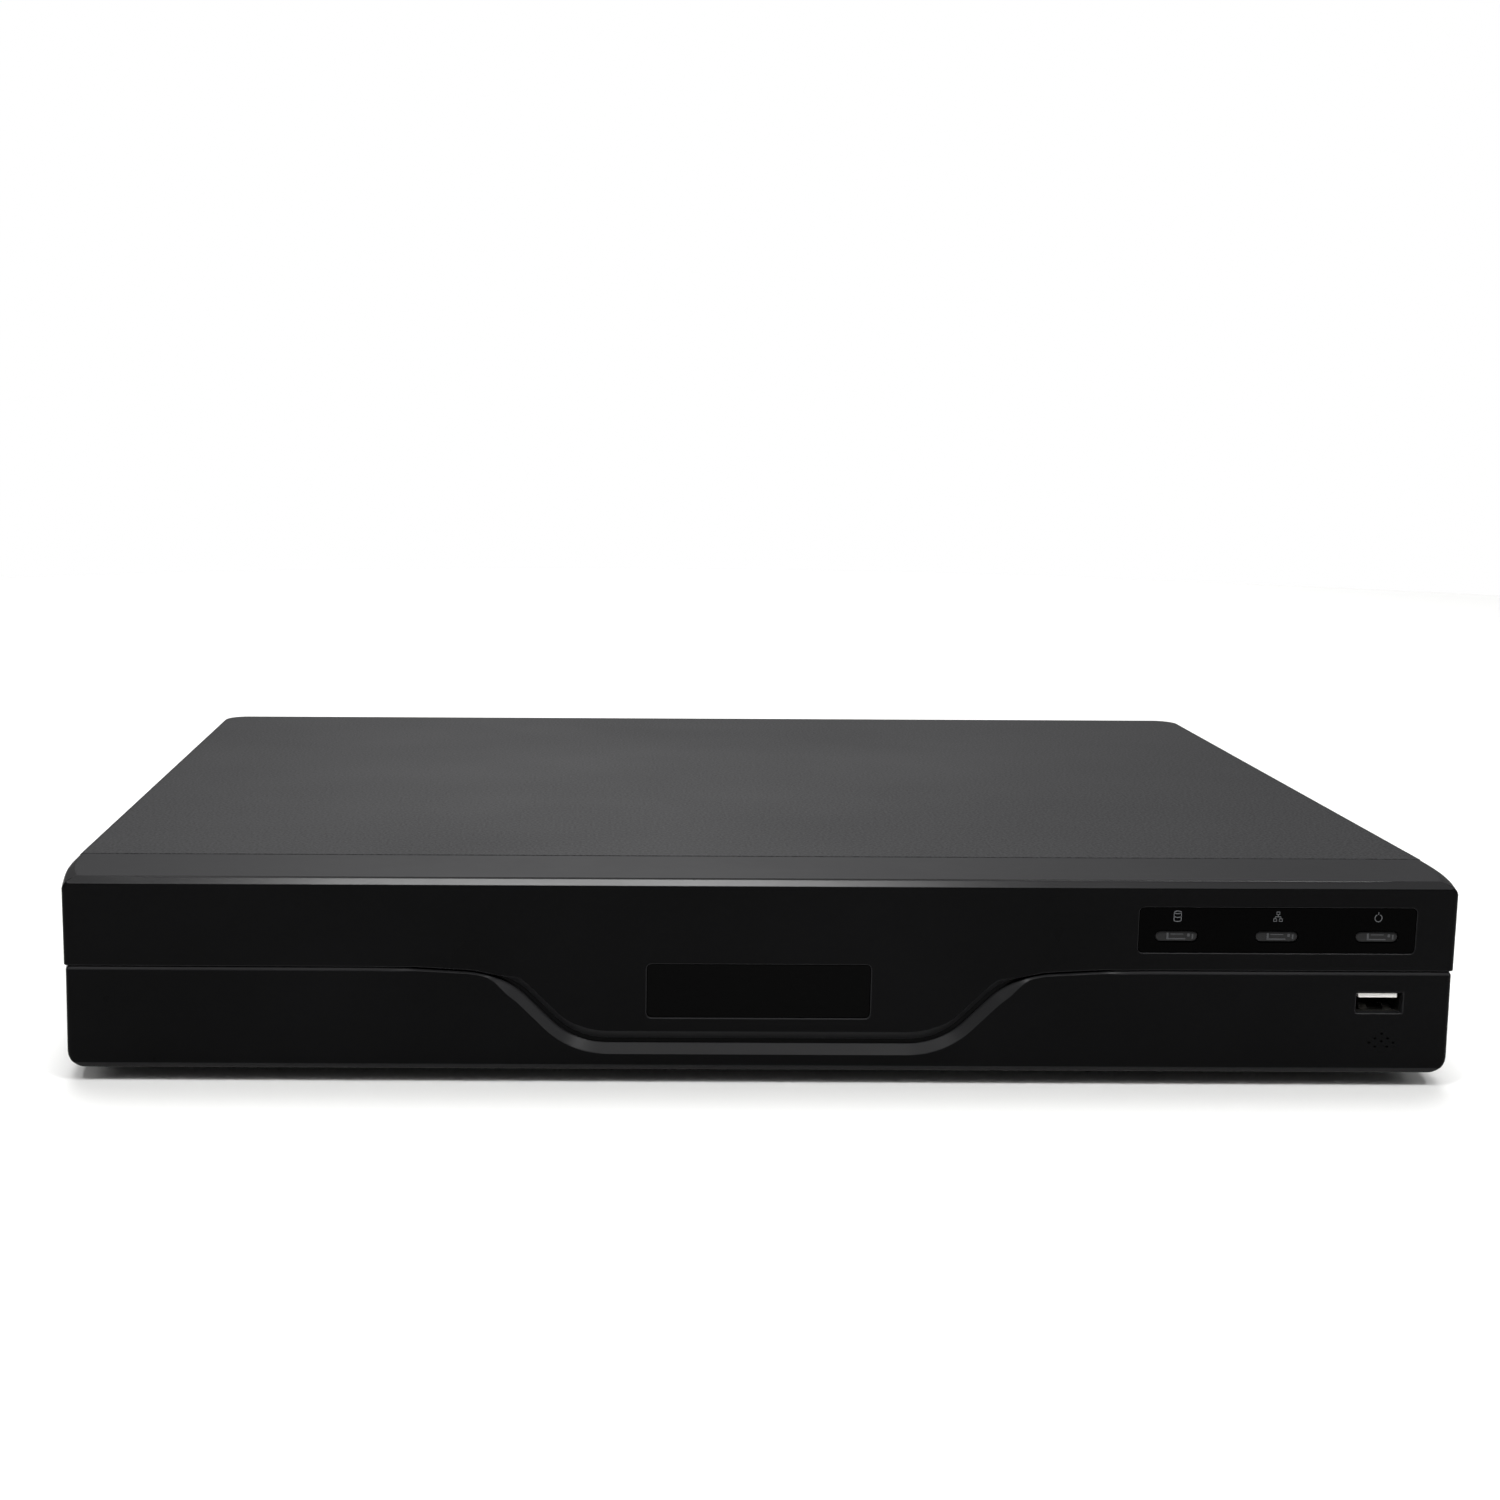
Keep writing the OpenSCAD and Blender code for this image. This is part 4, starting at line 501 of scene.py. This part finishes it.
def bezel_rows(front_row, section, draft, drop):
    """Rows of points round the bezel, from its left rear corner across the front to its right rear one.
    front_row(station) gives the front's rows, and section(f) that of the front, f = 1, or an end, f = 0.
    The last row stops drop below the top, where the bezel meets the cover."""
    front, side = section(1), section(0)
    rounds = [max(0.05 * MM, front_corner - max(f.x, s.x)) for f, s in zip(front, side)]
    ends = [half_w - taper - s.x - end_inset(s.y, draft) for s in side]
    right = []
    for station in dip_stations():
        t = smooth_step(station[0].x, *front_widens)
        right.append([(x - t * (end_x - end + r), front_y + inset, z)
                      for (x, inset, z), end, r in zip(front_row(*station), ends, rounds)])
    for i in range(1, corner_arc + 1):
        t = i / corner_arc
        across, back = math.cos(math.radians(90 * t - 90)), 1 + math.sin(math.radians(90 * t - 90))
        right.append([(end - r + r * across, front_y + f.x + r * back, f.y * (1 - t) + s.y * t)
                      for f, s, end, r in zip(front, side, ends, rounds)])
    starts = [front_y + f.x + r for f, r in zip(front, rounds)]
    rear_ends = [half_w - s.x - end_inset(s.y, draft, rear_round) for s in side]
    for t in side_stops:
        wider = 1 - (1 - t) ** side_curve
        right.append([(end + (rear - end) * wider, start + (bezel_back - start) * t,
                       s.y if t < 1 else min(s.y, top_z - drop))
                      for s, end, rear, start in zip(side, ends, rear_ends, starts)])
    return [[(-x, y, z) for x, y, z in row] for row in reversed(right[1:])] + right


def bezel_moulding(name, rows, bands):
    """A hollow moulding from its rows, which run from its inner skin round its wall to its outer skin.
    bands are (first, last column, material index); the flat top or underside takes the last one's."""
    bm = bmesh.new()
    made = loft(bm, rows)
    columns = len(rows[0]) - 1
    for k, face in enumerate(bm.faces):
        face.material_index = next((index for first, last, index in bands if first <= k % columns <= last), 0)
    for column in (0, -1):
        for ring in ([row[column] for row in made[1:-1]],
                     [made[0][column], made[1][column], made[-2][column], made[-1][column]]):
            bm.faces.new(ring).material_index = bands[-1][2]
    bm.faces.new([made[0][0], made[0][-1], made[-1][-1], made[-1][0]])
    for end in (made[0], made[-1]):
        bm.faces.new(end)
    piece = as_object(name, bm)
    for material in bezel_finishes:
        piece.data.materials.append(material)
    return piece


# The groove between the mouldings: its width at the ends, what the sunken shoulder and the dip add
# to it, and how broad the bevels above it are. The brow's step fades out before the corners.
seam_gap, shoulder_gap, dip_gap = 0.2 * MM, 0.35 * MM, 1.25 * MM
thin_bevel, slope_bevel, foot_bevel = 0.15 * MM, 1.3 * MM, 0.75 * MM
thin_step, brow_step, step_fades = 0.02 * MM, 0.32 * MM, (160 * MM, 180 * MM)


def upper_section(f, edge_z=seam_z + 0.1 * MM, bevel_z=seam_z + 0.25 * MM, bevel_d=thin_bevel,
                  step=thin_step):
    """The upper moulding: its inner skin, its lower edge, its face, and the sloping brow with a
    small step at its top. All are (depth behind the face, height)."""
    brow_d = (5 * f + 0.35 * (1 - f)) * MM
    brow_h = (1 * f + 0.8 * (1 - f)) * MM
    slope = [(brow_d * t, top_z - step - (brow_h - step) * (1 - t)) for t in (0, 0.3, 0.6, 0.85, 1)]
    line = [(skin_back, top_z - bezel_wall), (skin_front, top_z - bezel_wall), (skin_front, edge_z),
            (bevel_d, edge_z), (0, bevel_z)]
    line += [(0, top_z - below * MM) for below in (2.6, 1.9, 1.4)] + slope
    line += [(brow_d + 0.7 * step, top_z), (brow_d + 1.5 * MM, top_z)]
    rounds = [0, 0, 0, 0.12, 0.2, 0, 0, 0, 0.3, 0, 0, 0, 0.05, 0.08, 0]
    return fillet(line, [r * MM for r in rounds], 3)


def upper_front(p, normal, dip, shelf):
    """The upper moulding's row at a station: it stands off the seam by a gap that widens in the dip."""
    edge = p + normal * (seam_gap + shoulder_gap * shelf * (1 - dip) + dip_gap * dip)
    level = smooth_step(abs(normal.y), 0.72, 1)
    crest = edge + normal * (thin_bevel + (slope_bevel + foot_bevel * level) * dip ** 3)
    step = thin_step + brow_step * (1 - smooth_step(p.x, *step_fades))
    section = upper_section(1, edge.y, crest.y, thin_bevel + dip_gap * dip, step)
    return [(edge.x if q.y < (edge.y + crest.y) / 2 else crest.x, q.x, q.y) for q in section]


# The lower moulding's bevel: its depth, and its height at the ends, less on the sunken shoulder and
# more in the dip.
sill_bevel_d, sill_bevel_h = 0.55 * MM, 0.9 * MM
shoulder_less, dip_deeper, dip_taller = 0.4 * MM, 1.5 * MM, 2.2 * MM


def lower_section(f, edge_z=seam_z - 0.1 * MM, bevel_z=seam_z - 1 * MM, bevel_d=sill_bevel_d):
    """The lower moulding: its inner skin, its top edge, its bevel and face, and its rounded sill."""
    sill_d = (0.9 * f + 0.3 * (1 - f)) * MM
    line = [(skin_back, base_z + bezel_wall), (skin_front, base_z + bezel_wall), (skin_front, edge_z),
            (bevel_d, edge_z), (0, bevel_z)]
    line += [(0, base_z + above * MM) for above in (4.5, 3.3, 2.3, 1.5)]
    line += [(sill_d * 0.5, base_z + 0.75 * MM), (sill_d, base_z), (sill_d + 1.5 * MM, base_z)]
    rounds = [0, 0, 0, 0.12, 0.2, 0, 0, 0, 0.25, 0, 0.3, 0]
    return fillet(line, [r * MM for r in rounds], 3)


def lower_front(p, normal, dip, shelf):
    """The lower moulding's row at a station: its bevel is broadest in the dip."""
    foot = p - normal * (sill_bevel_h - shoulder_less * shelf + dip_taller * dip)
    section = lower_section(1, p.y, foot.y, sill_bevel_d + dip_deeper * dip)
    return [(p.x if q.y > (p.y + foot.y) / 2 else foot.x, q.x, q.y) for q in section]


def front_cutter(outline, x, z, levels):
    """A cutter that enters the front face at a place: levels are (depth, how far it is grown outwards)."""
    bm = bmesh.new()
    prism(bm, outline, lambda u, v, d: (x + u, front_y + d, z + v), levels)
    # Its faces carry the chamfers' finish, so the cut rims take its painted light.
    for face in bm.faces:
        face.material_index = 1
    cutter = as_object("cutter", bm)
    for material in bezel_finishes:
        cutter.data.materials.append(material)
    return cutter


# Near-black ABS. The face is the darkest, its chamfers are polished and take the lamps as grey
# lines, and the top is grained to match the cover. The chamfers' and the top's colours are painted
# paler than the face's: painted light on one moulding.
black_abs = moulded("satin_black_abs", ("#020202", "#0b0b0c"), 0.3, 0.033)
chamfer_abs_painted_light = moulded("polished_chamfer_abs_painted_light", ("#131314", "#19191a"), 0.3, 0.085)
grained_abs_painted_top_light = moulded("grained_black_abs_painted_top_light", ("#232324", "#2a2a2b"), 0.5, 0.04, 0.35, 0.04)
bezel_finishes = [black_abs, chamfer_abs_painted_light, grained_abs_painted_top_light]
# The stretches of a section, in points from its inner skin, that each finish covers.
edge_band, sill_band, brow_band, flat_band = (10, 14), (30, 38), (31, 50), (51, 99)
lower = bezel_moulding("bezel_lower_moulding", bezel_rows(lower_front, lower_section, 1, 0),
                       [(*edge_band, 1), (*sill_band, 1), (*flat_band, 0)])
badge_box, window_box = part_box("badge_plate"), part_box("led_window")
port_low, port_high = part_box("front_usb_shell")
port_x, port_z = (port_low.x + port_high.x) / 2, (port_low.z + port_high.z) / 2
port_hole = rounded_rect(12.5 * MM, 5.7 * MM, 0.3 * MM, 3)
# Each opening's rim is flared by its tool and given the chamfers' paler colour as painted light, which
# together put a thin grey line round it.
flare, flare_depth = 0.25 * MM, 0.17 * MM
cut_with(lower, front_cutter(port_hole, port_x, port_z,
                             [(-flare_depth, 2 * flare), (flare_depth, 0), (5 * MM, 0)]))
finish_piece(lower, None, instead_of=["bezel_lower"])

upper = bezel_moulding("bezel_upper_moulding", bezel_rows(upper_front, upper_section, 0, 0.9 * MM),
                       [(*edge_band, 1), (*brow_band, 1), (*flat_band, 2)])
badge_x, badge_z = (badge_box[0].x + badge_box[1].x) / 2, (badge_box[0].z + badge_box[1].z) / 2
badge_w, badge_h, badge_pocket_d = 59.7 * MM, 14.8 * MM, 1.2 * MM
cut_with(upper, front_cutter(rounded_rect(badge_w, badge_h, 1.3 * MM), badge_x, badge_z,
                             [(-flare_depth, 2 * flare), (flare_depth, 0), (badge_pocket_d, 0)]))
window_x, window_z = (window_box[0].x + window_box[1].x) / 2, (window_box[0].z + window_box[1].z) / 2
window_w, window_h = 73.6 * MM, 12.5 * MM
cut_with(upper, front_cutter(rounded_rect(window_w, window_h, 1.3 * MM), window_x, window_z,
                             [(-0.6 * flare_depth, 1.2 * flare), (0.6 * flare_depth, 0), (1.6 * MM, 0)]))
finish_piece(upper, None, instead_of=["bezel_upper"])

# The upper moulding's lip stands behind the groove and closes it.
lip_bm = bmesh.new()
lip_y, lip_below, lip_above = front_y + 2.6 * MM, 2 * MM, 5 * MM
for side in (-1, 1):
    loft(lip_bm, [[(side * p.x, lip_y, p.y - lip_below), (side * p.x, lip_y, p.y + lip_above)]
                  for p, normal, dip, shelf in dip_stations()])
lip = as_object("bezel_lip", lip_bm)
thicken = lip.modifiers.new("thicken", "SOLIDIFY")
thicken.thickness, thicken.offset = 0.6 * MM, 0
apply_modifiers(lip)
finish_piece(lip, black_abs)

# ---- Nameplate ----
# A blank plate of satin ABS pressed into the bezel's pocket, a little below its face.
# Its polished tool face makes it darker and smoother than the bezel.

plate_bm = bmesh.new()
plate_play, plate_sunk, plate_edge = 0.1 * MM, 0.4 * MM, 0.15 * MM
prism(plate_bm, rounded_rect(badge_w - plate_play, badge_h - plate_play, 1.2 * MM),
      lambda u, v, d: (badge_x + u, front_y + d, badge_z + v),
      [(badge_pocket_d, 0), (plate_sunk + plate_edge, 0), (plate_sunk, -plate_edge)])
plate = as_object("nameplate", plate_bm)
# ABS off a polished tool: the darkest and smoothest plastic on the front.
plate_abs = moulded("polished_black_abs", ("#020202", "#040404"), 0.22, 0.022, 0.4, 0.006)
finish_piece(plate, plate_abs, instead_of=["badge_plate"])

# ---- Indicator window ----
# Smoke-black acrylic, polished, set flush in the bezel with three slots for the light pipes.
# Pale icons are printed above the slots: a disk, a network and a power mark.

# Cast smoke acrylic: almost black, with a clear reflection and hardly any grain.
acrylic = moulded("smoke_black_acrylic", ("#010101", "#020202"), 0.1, 0.014, 2, 0.002)
glass_bm = bmesh.new()
glass_play = 0.2 * MM
prism(glass_bm, rounded_rect(window_w - glass_play, window_h - glass_play, 1.2 * MM),
      lambda u, v, d: (window_x + u, front_y + d, window_z + v),
      [(1.55 * MM, 0), (0.32 * MM, 0), (0.2 * MM, -0.12 * MM)])
glass = as_object("indicator_window", glass_bm)
pipe_z, pipe_pitch = window_z - 1.7 * MM, 26.6 * MM
pipe_places = [window_x + i * pipe_pitch for i in (-1, 0, 1)]
slot_w, slot_h = 11.4 * MM, 3 * MM
for x in pipe_places:
    cut_with(glass, front_cutter(stadium(slot_w, slot_h), x, pipe_z,
                                 [(-1 * MM, 1.2 * MM), (0.4 * MM, 0), (3 * MM, 0)]))
finish_piece(glass, acrylic, instead_of=["led_window"])

# Screen-printed grey ink: matt and raised a little, so it stays even from any side.
ink = moulded("grey_ink", ("#48494b", "#525456"), 0.5, 0.3, 0.1)


def stroke(bm, points, width, closed=False):
    """A printed line on the window, of even width, through points given from the icon's middle."""
    rings = []
    count = len(points)
    for i, (x, z) in enumerate(points):
        before = points[i - 1] if i or closed else points[i]
        after = points[(i + 1) % count] if i < count - 1 or closed else points[i]
        along = (Vector(after) - Vector(before)).normalized()
        side = Vector((-along.y, along.x)) * width / 2
        rings.append([(x - side.x, 0, z - side.y), (x - side.x, -0.03 * MM, z - side.y),
                      (x + side.x, -0.03 * MM, z + side.y), (x + side.x, 0, z + side.y)])
    rows = loft(bm, rings + ([rings[0]] if closed else []), closed=True)
    if not closed:
        bm.faces.new(rows[0])
        bm.faces.new(list(reversed(rows[-1])))


def oval(x, z, rx, rz, start=0, stop=360, steps=20):
    """Points on an ellipse, between two angles in degrees."""
    return [(x + rx * math.cos(math.radians(start + (stop - start) * i / steps)),
             z + rz * math.sin(math.radians(start + (stop - start) * i / steps)))
            for i in range(steps if stop - start == 360 else steps + 1)]


icon_z = window_z + 3.75 * MM
line_w = 0.24 * MM
disk_rx, disk_rz, disk_top, disk_base = 1.2 * MM, 0.42 * MM, 1.3 * MM, -1.2 * MM
node_half_w, node_half_h, branch_x = 0.5 * MM, 0.4 * MM, 0.95 * MM
for name, x in zip(("disk", "network", "power"), pipe_places):
    icon_bm = bmesh.new()
    if name == "disk":
        stroke(icon_bm, oval(0, disk_top, disk_rx, disk_rz), line_w, True)
        for level in (0.1 * MM, disk_base):
            stroke(icon_bm, oval(0, level, disk_rx, disk_rz, 180, 360), line_w)
        for side in (-1, 1):
            stroke(icon_bm, [(side * disk_rx, disk_top), (side * disk_rx, disk_base)], line_w)
    if name == "network":
        for px, pz in ((0, 1.15 * MM), (-branch_x, -1.05 * MM), (branch_x, -1.05 * MM)):
            stroke(icon_bm, [(px + sx * node_half_w, pz + sz * node_half_h)
                             for sx, sz in ((-1, -1), (1, -1), (1, 1), (-1, 1))], line_w, True)
        stroke(icon_bm, [(0, 0.7 * MM), (0, 0)], line_w)
        stroke(icon_bm, [(-branch_x, -0.6 * MM), (-branch_x, 0), (branch_x, 0), (branch_x, -0.6 * MM)],
               line_w)
    if name == "power":
        stroke(icon_bm, oval(0, -0.3 * MM, 1.15 * MM, 1.15 * MM, 115, 425, 24), line_w)
        stroke(icon_bm, [(0, 1.6 * MM), (0, 0.75 * MM)], line_w)
    icon = as_object("icon_" + name, icon_bm)
    icon.location = (x, front_y + 0.2 * MM, icon_z)
    icon.scale = (0.8, 1, 0.85)
    finish_piece(icon, ink)

# ---- Light pipes ----
# Moulded acrylic, dark when unlit, with a frosted face that fills each slot.
# The face is slightly crowned, and the edges of the chip and its leads show grey through it.

# Frosted acrylic: a bead-blasted face whose half-millimetre mottle spreads the light.
frosted = new_material("frosted_acrylic")
frost_place = add(frosted, "ShaderNodeTexCoord")
frost = add(frosted, "ShaderNodeTexNoise", {"Scale": 1 / (0.5 * MM), "Detail": 2},
            {"Vector": frost_place.outputs["Object"]})
frost_bump = add(frosted, "ShaderNodeBump", {"Strength": 0.4, "Distance": 0.02 * MM},
                 {"Height": frost.outputs["Fac"]})
frost_tone = add(frosted, "ShaderNodeMix", {"data_type": "RGBA", 6: linear("#080808"), 7: linear("#141415")},
                 {0: frost.outputs["Fac"]})
frost_shader = add(frosted, "ShaderNodeBsdfPrincipled",
                   {"Roughness": 0.3, "IOR": 1.49, "Specular IOR Level": 0.15,
                    "Coat Weight": 0.08, "Coat Roughness": 0.12},
                   {"Base Color": frost_tone.outputs[2], "Normal": frost_bump.outputs["Normal"]})
add(frosted, "ShaderNodeOutputMaterial", {}, {"Surface": frost_shader.outputs[0]})
# Clear epoxy over a grey chip: mid grey, a little shiny.
chip_epoxy = moulded("led_epoxy", ("#2c2d2f", "#38393b"), 0.3, 0.3, 0.3)

pipe_play = 0.2 * MM
pipe_crown = [(3, 0), (0.75, 0), (0.62, -0.12), (0.55, -0.4), (0.52, -0.9)]
# What shows of a chip, in mm from its pipe's middle: left edge, lower edge, width and height.
chip_edges = ((-2.6, -0.9, 0.5, 1.8), (-2.2, -0.9, 4.6, 0.35), (-1.6, 0.45, 3.4, 0.2),
              (2.9, -0.1, 0.6, 0.8), (4.1, -0.7, 0.35, 1.3))
pipes_bm, chips_bm = bmesh.new(), bmesh.new()
for x in pipe_places:
    prism(pipes_bm, stadium(slot_w - pipe_play, slot_h - pipe_play),
          lambda u, v, d: (x + u, front_y + d, pipe_z + v),
          [(depth * MM, grow * MM) for depth, grow in pipe_crown])
    for left, low, wide, tall in chip_edges:
        middle_x, middle_z = x + (left + wide / 2) * MM, pipe_z + (low + tall / 2) * MM
        prism(chips_bm, rounded_rect(wide * MM, tall * MM, 0.08 * MM, 2),
              lambda u, v, d: (middle_x + u, front_y + d, middle_z + v), [(0.6 * MM, 0), (0.48 * MM, 0)])
pipes = as_object("light_pipe_faces", pipes_bm)
finish_piece(pipes, frosted, instead_of=["light_pipes"])
chips = as_object("chips_behind_pipes", chips_bm)
finish_piece(chips, chip_epoxy, instead_of=["led_chips"])

# ---- Front USB port ----
# A folded nickel-plated shell with a moulded white tongue hung from its top and four gold contacts.
# Two sprung fingers stand in its floor.

# Nickel over folded steel: warm grey and bright, with faint marks from the die.
nickel = bare_metal("nickel_plated_steel", ("#b4b1ab", "#cfccc6"), 0.24, 0.35)
# Glossy white polyester; it stays brighter than anything round it.
white_plastic = moulded("white_moulded_polyester", ("#dcdbd6", "#e8e7e3"), 0.3, 0.5)
# Hard gold over nickel: a deep yellow, dulled a little where plugs have slid on it.
gold = bare_metal("gold_plated_contact", ("#c79a3f", "#dab45c"), 0.25, 0.3)
# The front port's shell is rougher and painted darker than the other nickel: painted shade for the pocket it
# stands in.
nickel_painted_shade = bare_metal("nickel_plate_painted_shade", ("#3c3b39", "#4a4946"), 0.42, 0.35)
dress(nickel_painted_shade, "front_usb_shell")
tongue_bm = bmesh.new()
tongue_w, tongue_h, tongue_sunk, tongue_edge = 10.3 * MM, 1.2 * MM, 0.9 * MM, 0.1 * MM
tongue_x, tongue_z = port_x - 0.25 * MM, port_z + 1.85 * MM
prism(tongue_bm, rounded_rect(tongue_w, tongue_h, tongue_edge, 2),
      lambda u, v, d: (tongue_x + u, front_y + d, tongue_z + v),
      [(7.5 * MM, 0), (tongue_sunk + tongue_edge, 0), (tongue_sunk, -tongue_edge)])
tongue = as_object("usb_tongue", tongue_bm)
finish_piece(tongue, white_plastic, instead_of=["front_usb_tongue"])
fingers_bm = bmesh.new()
finger_half_w, finger_places = 1.1 * MM, (port_x - 3.2 * MM, port_x + 3.2 * MM)
finger_line = ((2.4, -2.45), (3.4, -2.1), (4.6, -1.5), (5.4, -1.35), (6.2, -1.6), (7.2, -2.3))
for x in finger_places:
    loft(fingers_bm, [[(x + side * finger_half_w, front_y + y * MM, port_z + z * MM) for side in (-1, 1)]
                      for y, z in finger_line])
fingers = as_object("usb_spring_fingers", fingers_bm)
thicken = fingers.modifiers.new("thicken", "SOLIDIFY")
thicken.thickness = 0.2 * MM
apply_modifiers(fingers)
# The fingers take the shell's painted shade.
finish_piece(fingers, nickel_painted_shade)

# A small blank mark moulded below the port: a diamond of low dots in place of any badge.
# Its dots are coloured greyer than the face round them.
dots_bm = bmesh.new()
dot_w, dot_h = 0.75 * MM, 0.45 * MM
mark_x, mark_z = port_x + 1.2 * MM, base_z + 9.4 * MM
dot_places = [(0, 1.7), (0, -0.4)] + [(side * u, v) for side in (-1, 1)
                                      for u, v in ((1.7, 0.4), (3.2, -0.8), (1.6, -1.9))]
for u, v in dot_places:
    prism(dots_bm, rounded_rect(dot_w, dot_h, 0.2 * MM, 3),
          lambda a, b, d: (mark_x + u * MM + a, front_y + d, mark_z + v * MM + b),
          [(0.1 * MM, 0), (0, 0), (0, -0.05 * MM)])
dots = as_object("port_mark", dots_bm)
grey_mark = moulded("raised_grey_mark", ("#28282a", "#303032"), 0.4, 0.2)
finish_piece(dots, grey_mark)

# ---- Tray and feet ----
# The tray is folded from 1 mm zinc-plated steel and carries the drives and the boards.
# Four moulded rubber feet are glued under its corners.

dress(zinc_plate, "base_tray")
# Matt black rubber, with a coarser grain than the plastic's.
rubber = moulded("black_rubber", ("#0d0d0d", "#121212"), 0.62, 0.3, 0.6, 0.05)
dress(rubber, "rubber_feet")

# ---- Rear connectors ----
# Bought-in sockets soldered to the main board: plated shells in black moulded bodies, with the
# contacts' insulators in white, blue or green as the trade colours them.

# The sockets' plastics are glossier than the bezel's, and their plated shells bright beside them.
black_plastic = moulded("black_moulded_polyester", ("#101011", "#161617"), 0.36, 0.4)
blue_plastic = moulded("blue_moulded_polyester", ("#17398f", "#1d43a0"), 0.34, 0.5)
green_plastic = moulded("green_moulded_polyamide", ("#1e7d45", "#258a4e"), 0.36, 0.5)
# Brass off the lathe: yellow, with fine rings left by the tool.
brass = bare_metal("turned_brass", ("#b08d45", "#c7a45c"), 0.28, 0.3)
dress(black_plastic, "bnc_housings", "rca_housings", "hdmi_tongue", "lan_housing", "rear_usb_tongues",
      "dc_jack_body", "switch_housing", "switch_rocker")
dress(nickel, "bnc_shells", "rca_shells", "vga_shell", "vga_jackscrews", "hdmi_shell", "lan_shield",
      "rear_usb_shell", "dc_jack_pin")
dress(white_plastic, "bnc_insulators", "rca_inserts")
dress(gold, "bnc_contacts")
dress(blue_plastic, "vga_insert")
dress(green_plastic, "terminal_socket", "terminal_plug")
dress(zinc_plate, "terminal_screws", "fan_screws", "drive_screws", "board_screws")
dress(brass, "ground_screw", "board_standoffs")

# ---- Fan ----
# A 40 mm fan of black glass-filled polyester, screwed to the rear panel from outside.
# Its guard is bent from steel wire, spot welded and nickel plated: bright rings over a dark hole.

dress(black_plastic, "fan_frame", "fan_rotor")
# Bright nickel on drawn wire, so that each ring takes a long narrow shine.
plated_wire = bare_metal("nickel_plated_wire", ("#b9b9b6", "#cfcfcc"), 0.22, 0.3)
dress(plated_wire, "fan_guard")

# ---- Boards ----
# Glass-epoxy boards under green solder mask, with copper tracks that show as paler lines.
# The parts on them are moulded black epoxy, aluminium cans and an anodised heat sink.

# Green solder mask over copper: shiny, with a paler track every 1.4 mm or so.
track_block = 6 * MM
solder_mask = new_material("green_solder_mask")
mask_place = add(solder_mask, "ShaderNodeTexCoord")
tracks = add(solder_mask, "ShaderNodeTexBrick",
             {"Scale": 1 / track_block, "Mortar Size": 0.035, "Brick Width": 0.9, "Row Height": 0.24,
              "Color1": linear("#124a2c"), "Color2": linear("#15522f"), "Mortar": linear("#2b7a4a")},
             {"Vector": mask_place.outputs["Object"]})
track_bump = add(solder_mask, "ShaderNodeBump", {"Strength": 0.3, "Distance": 0.035 * MM},
                 {"Height": tracks.outputs["Fac"]})
mask_shader = add(solder_mask, "ShaderNodeBsdfPrincipled", {"Roughness": 0.28, "Specular IOR Level": 0.5},
                  {"Base Color": tracks.outputs["Color"], "Normal": track_bump.outputs["Normal"]})
add(solder_mask, "ShaderNodeOutputMaterial", {}, {"Surface": mask_shader.outputs[0]})
dress(solder_mask, "main_board", "front_board", "drive_board")
# Epoxy over the chips: nearly black and matt, with a fine grit from its filler.
epoxy = moulded("moulded_black_epoxy", ("#131314", "#1a1a1b"), 0.5, 0.4, 0.12)
dress(epoxy, "processor", "memory_chips", "buzzer")
# Extruded, then clear anodised: pale grey and satin, with lines along the fins.
anodised = bare_metal("clear_anodised_aluminium", ("#9ea1a4", "#b2b5b7"), 0.36, 0.25, (1, 12, 1))
dress(anodised, "heat_sink", "drive_arm")
# Drawn aluminium cans: bright, with faint lines up their height.
can = bare_metal("aluminium_can", ("#b3b6b9", "#c9cccf"), 0.26, 0.2, (1, 1, 10))
dress(can, "capacitors")
dress(nickel, "coin_cell")

# ---- Hard disk ----
# A cast aluminium base and a brushed steel lid round the polished platters and their head arm.
# The casting is grey and a little rough, the lid is drawn out in fine lines, the disks are mirrors.

dress(bare_metal("die_cast_aluminium", ("#7f8286", "#94979a"), 0.46, 0.8, depth_mm=0.04), "drive_base")
dress(bare_metal("brushed_stainless_steel", ("#a9abad", "#bdbfc1"), 0.27, 0.12, (1, 14, 1)), "drive_lid")
dress(bare_metal("polished_disk", ("#d5d6d8", "#dfe0e1"), 0.04, 3, depth_mm=0.001), "drive_platters")

# ---- Cables ----
# Flat PVC cables, pushed on to headers: a grey ribbon from the front board to the main board, and
# red data and black power to the disk. The plastic is soft and slightly shiny.

dress(moulded("grey_pvc", ("#8b8d90", "#97999c"), 0.42, 0.4, 0.5), "front_ribbon_cable")
dress(moulded("red_pvc", ("#8d211c", "#9c2a23"), 0.35, 0.5, 0.5), "drive_data_cable")
dress(moulded("black_pvc", ("#151516", "#1c1c1d"), 0.4, 0.4, 0.5), "drive_power_cable")
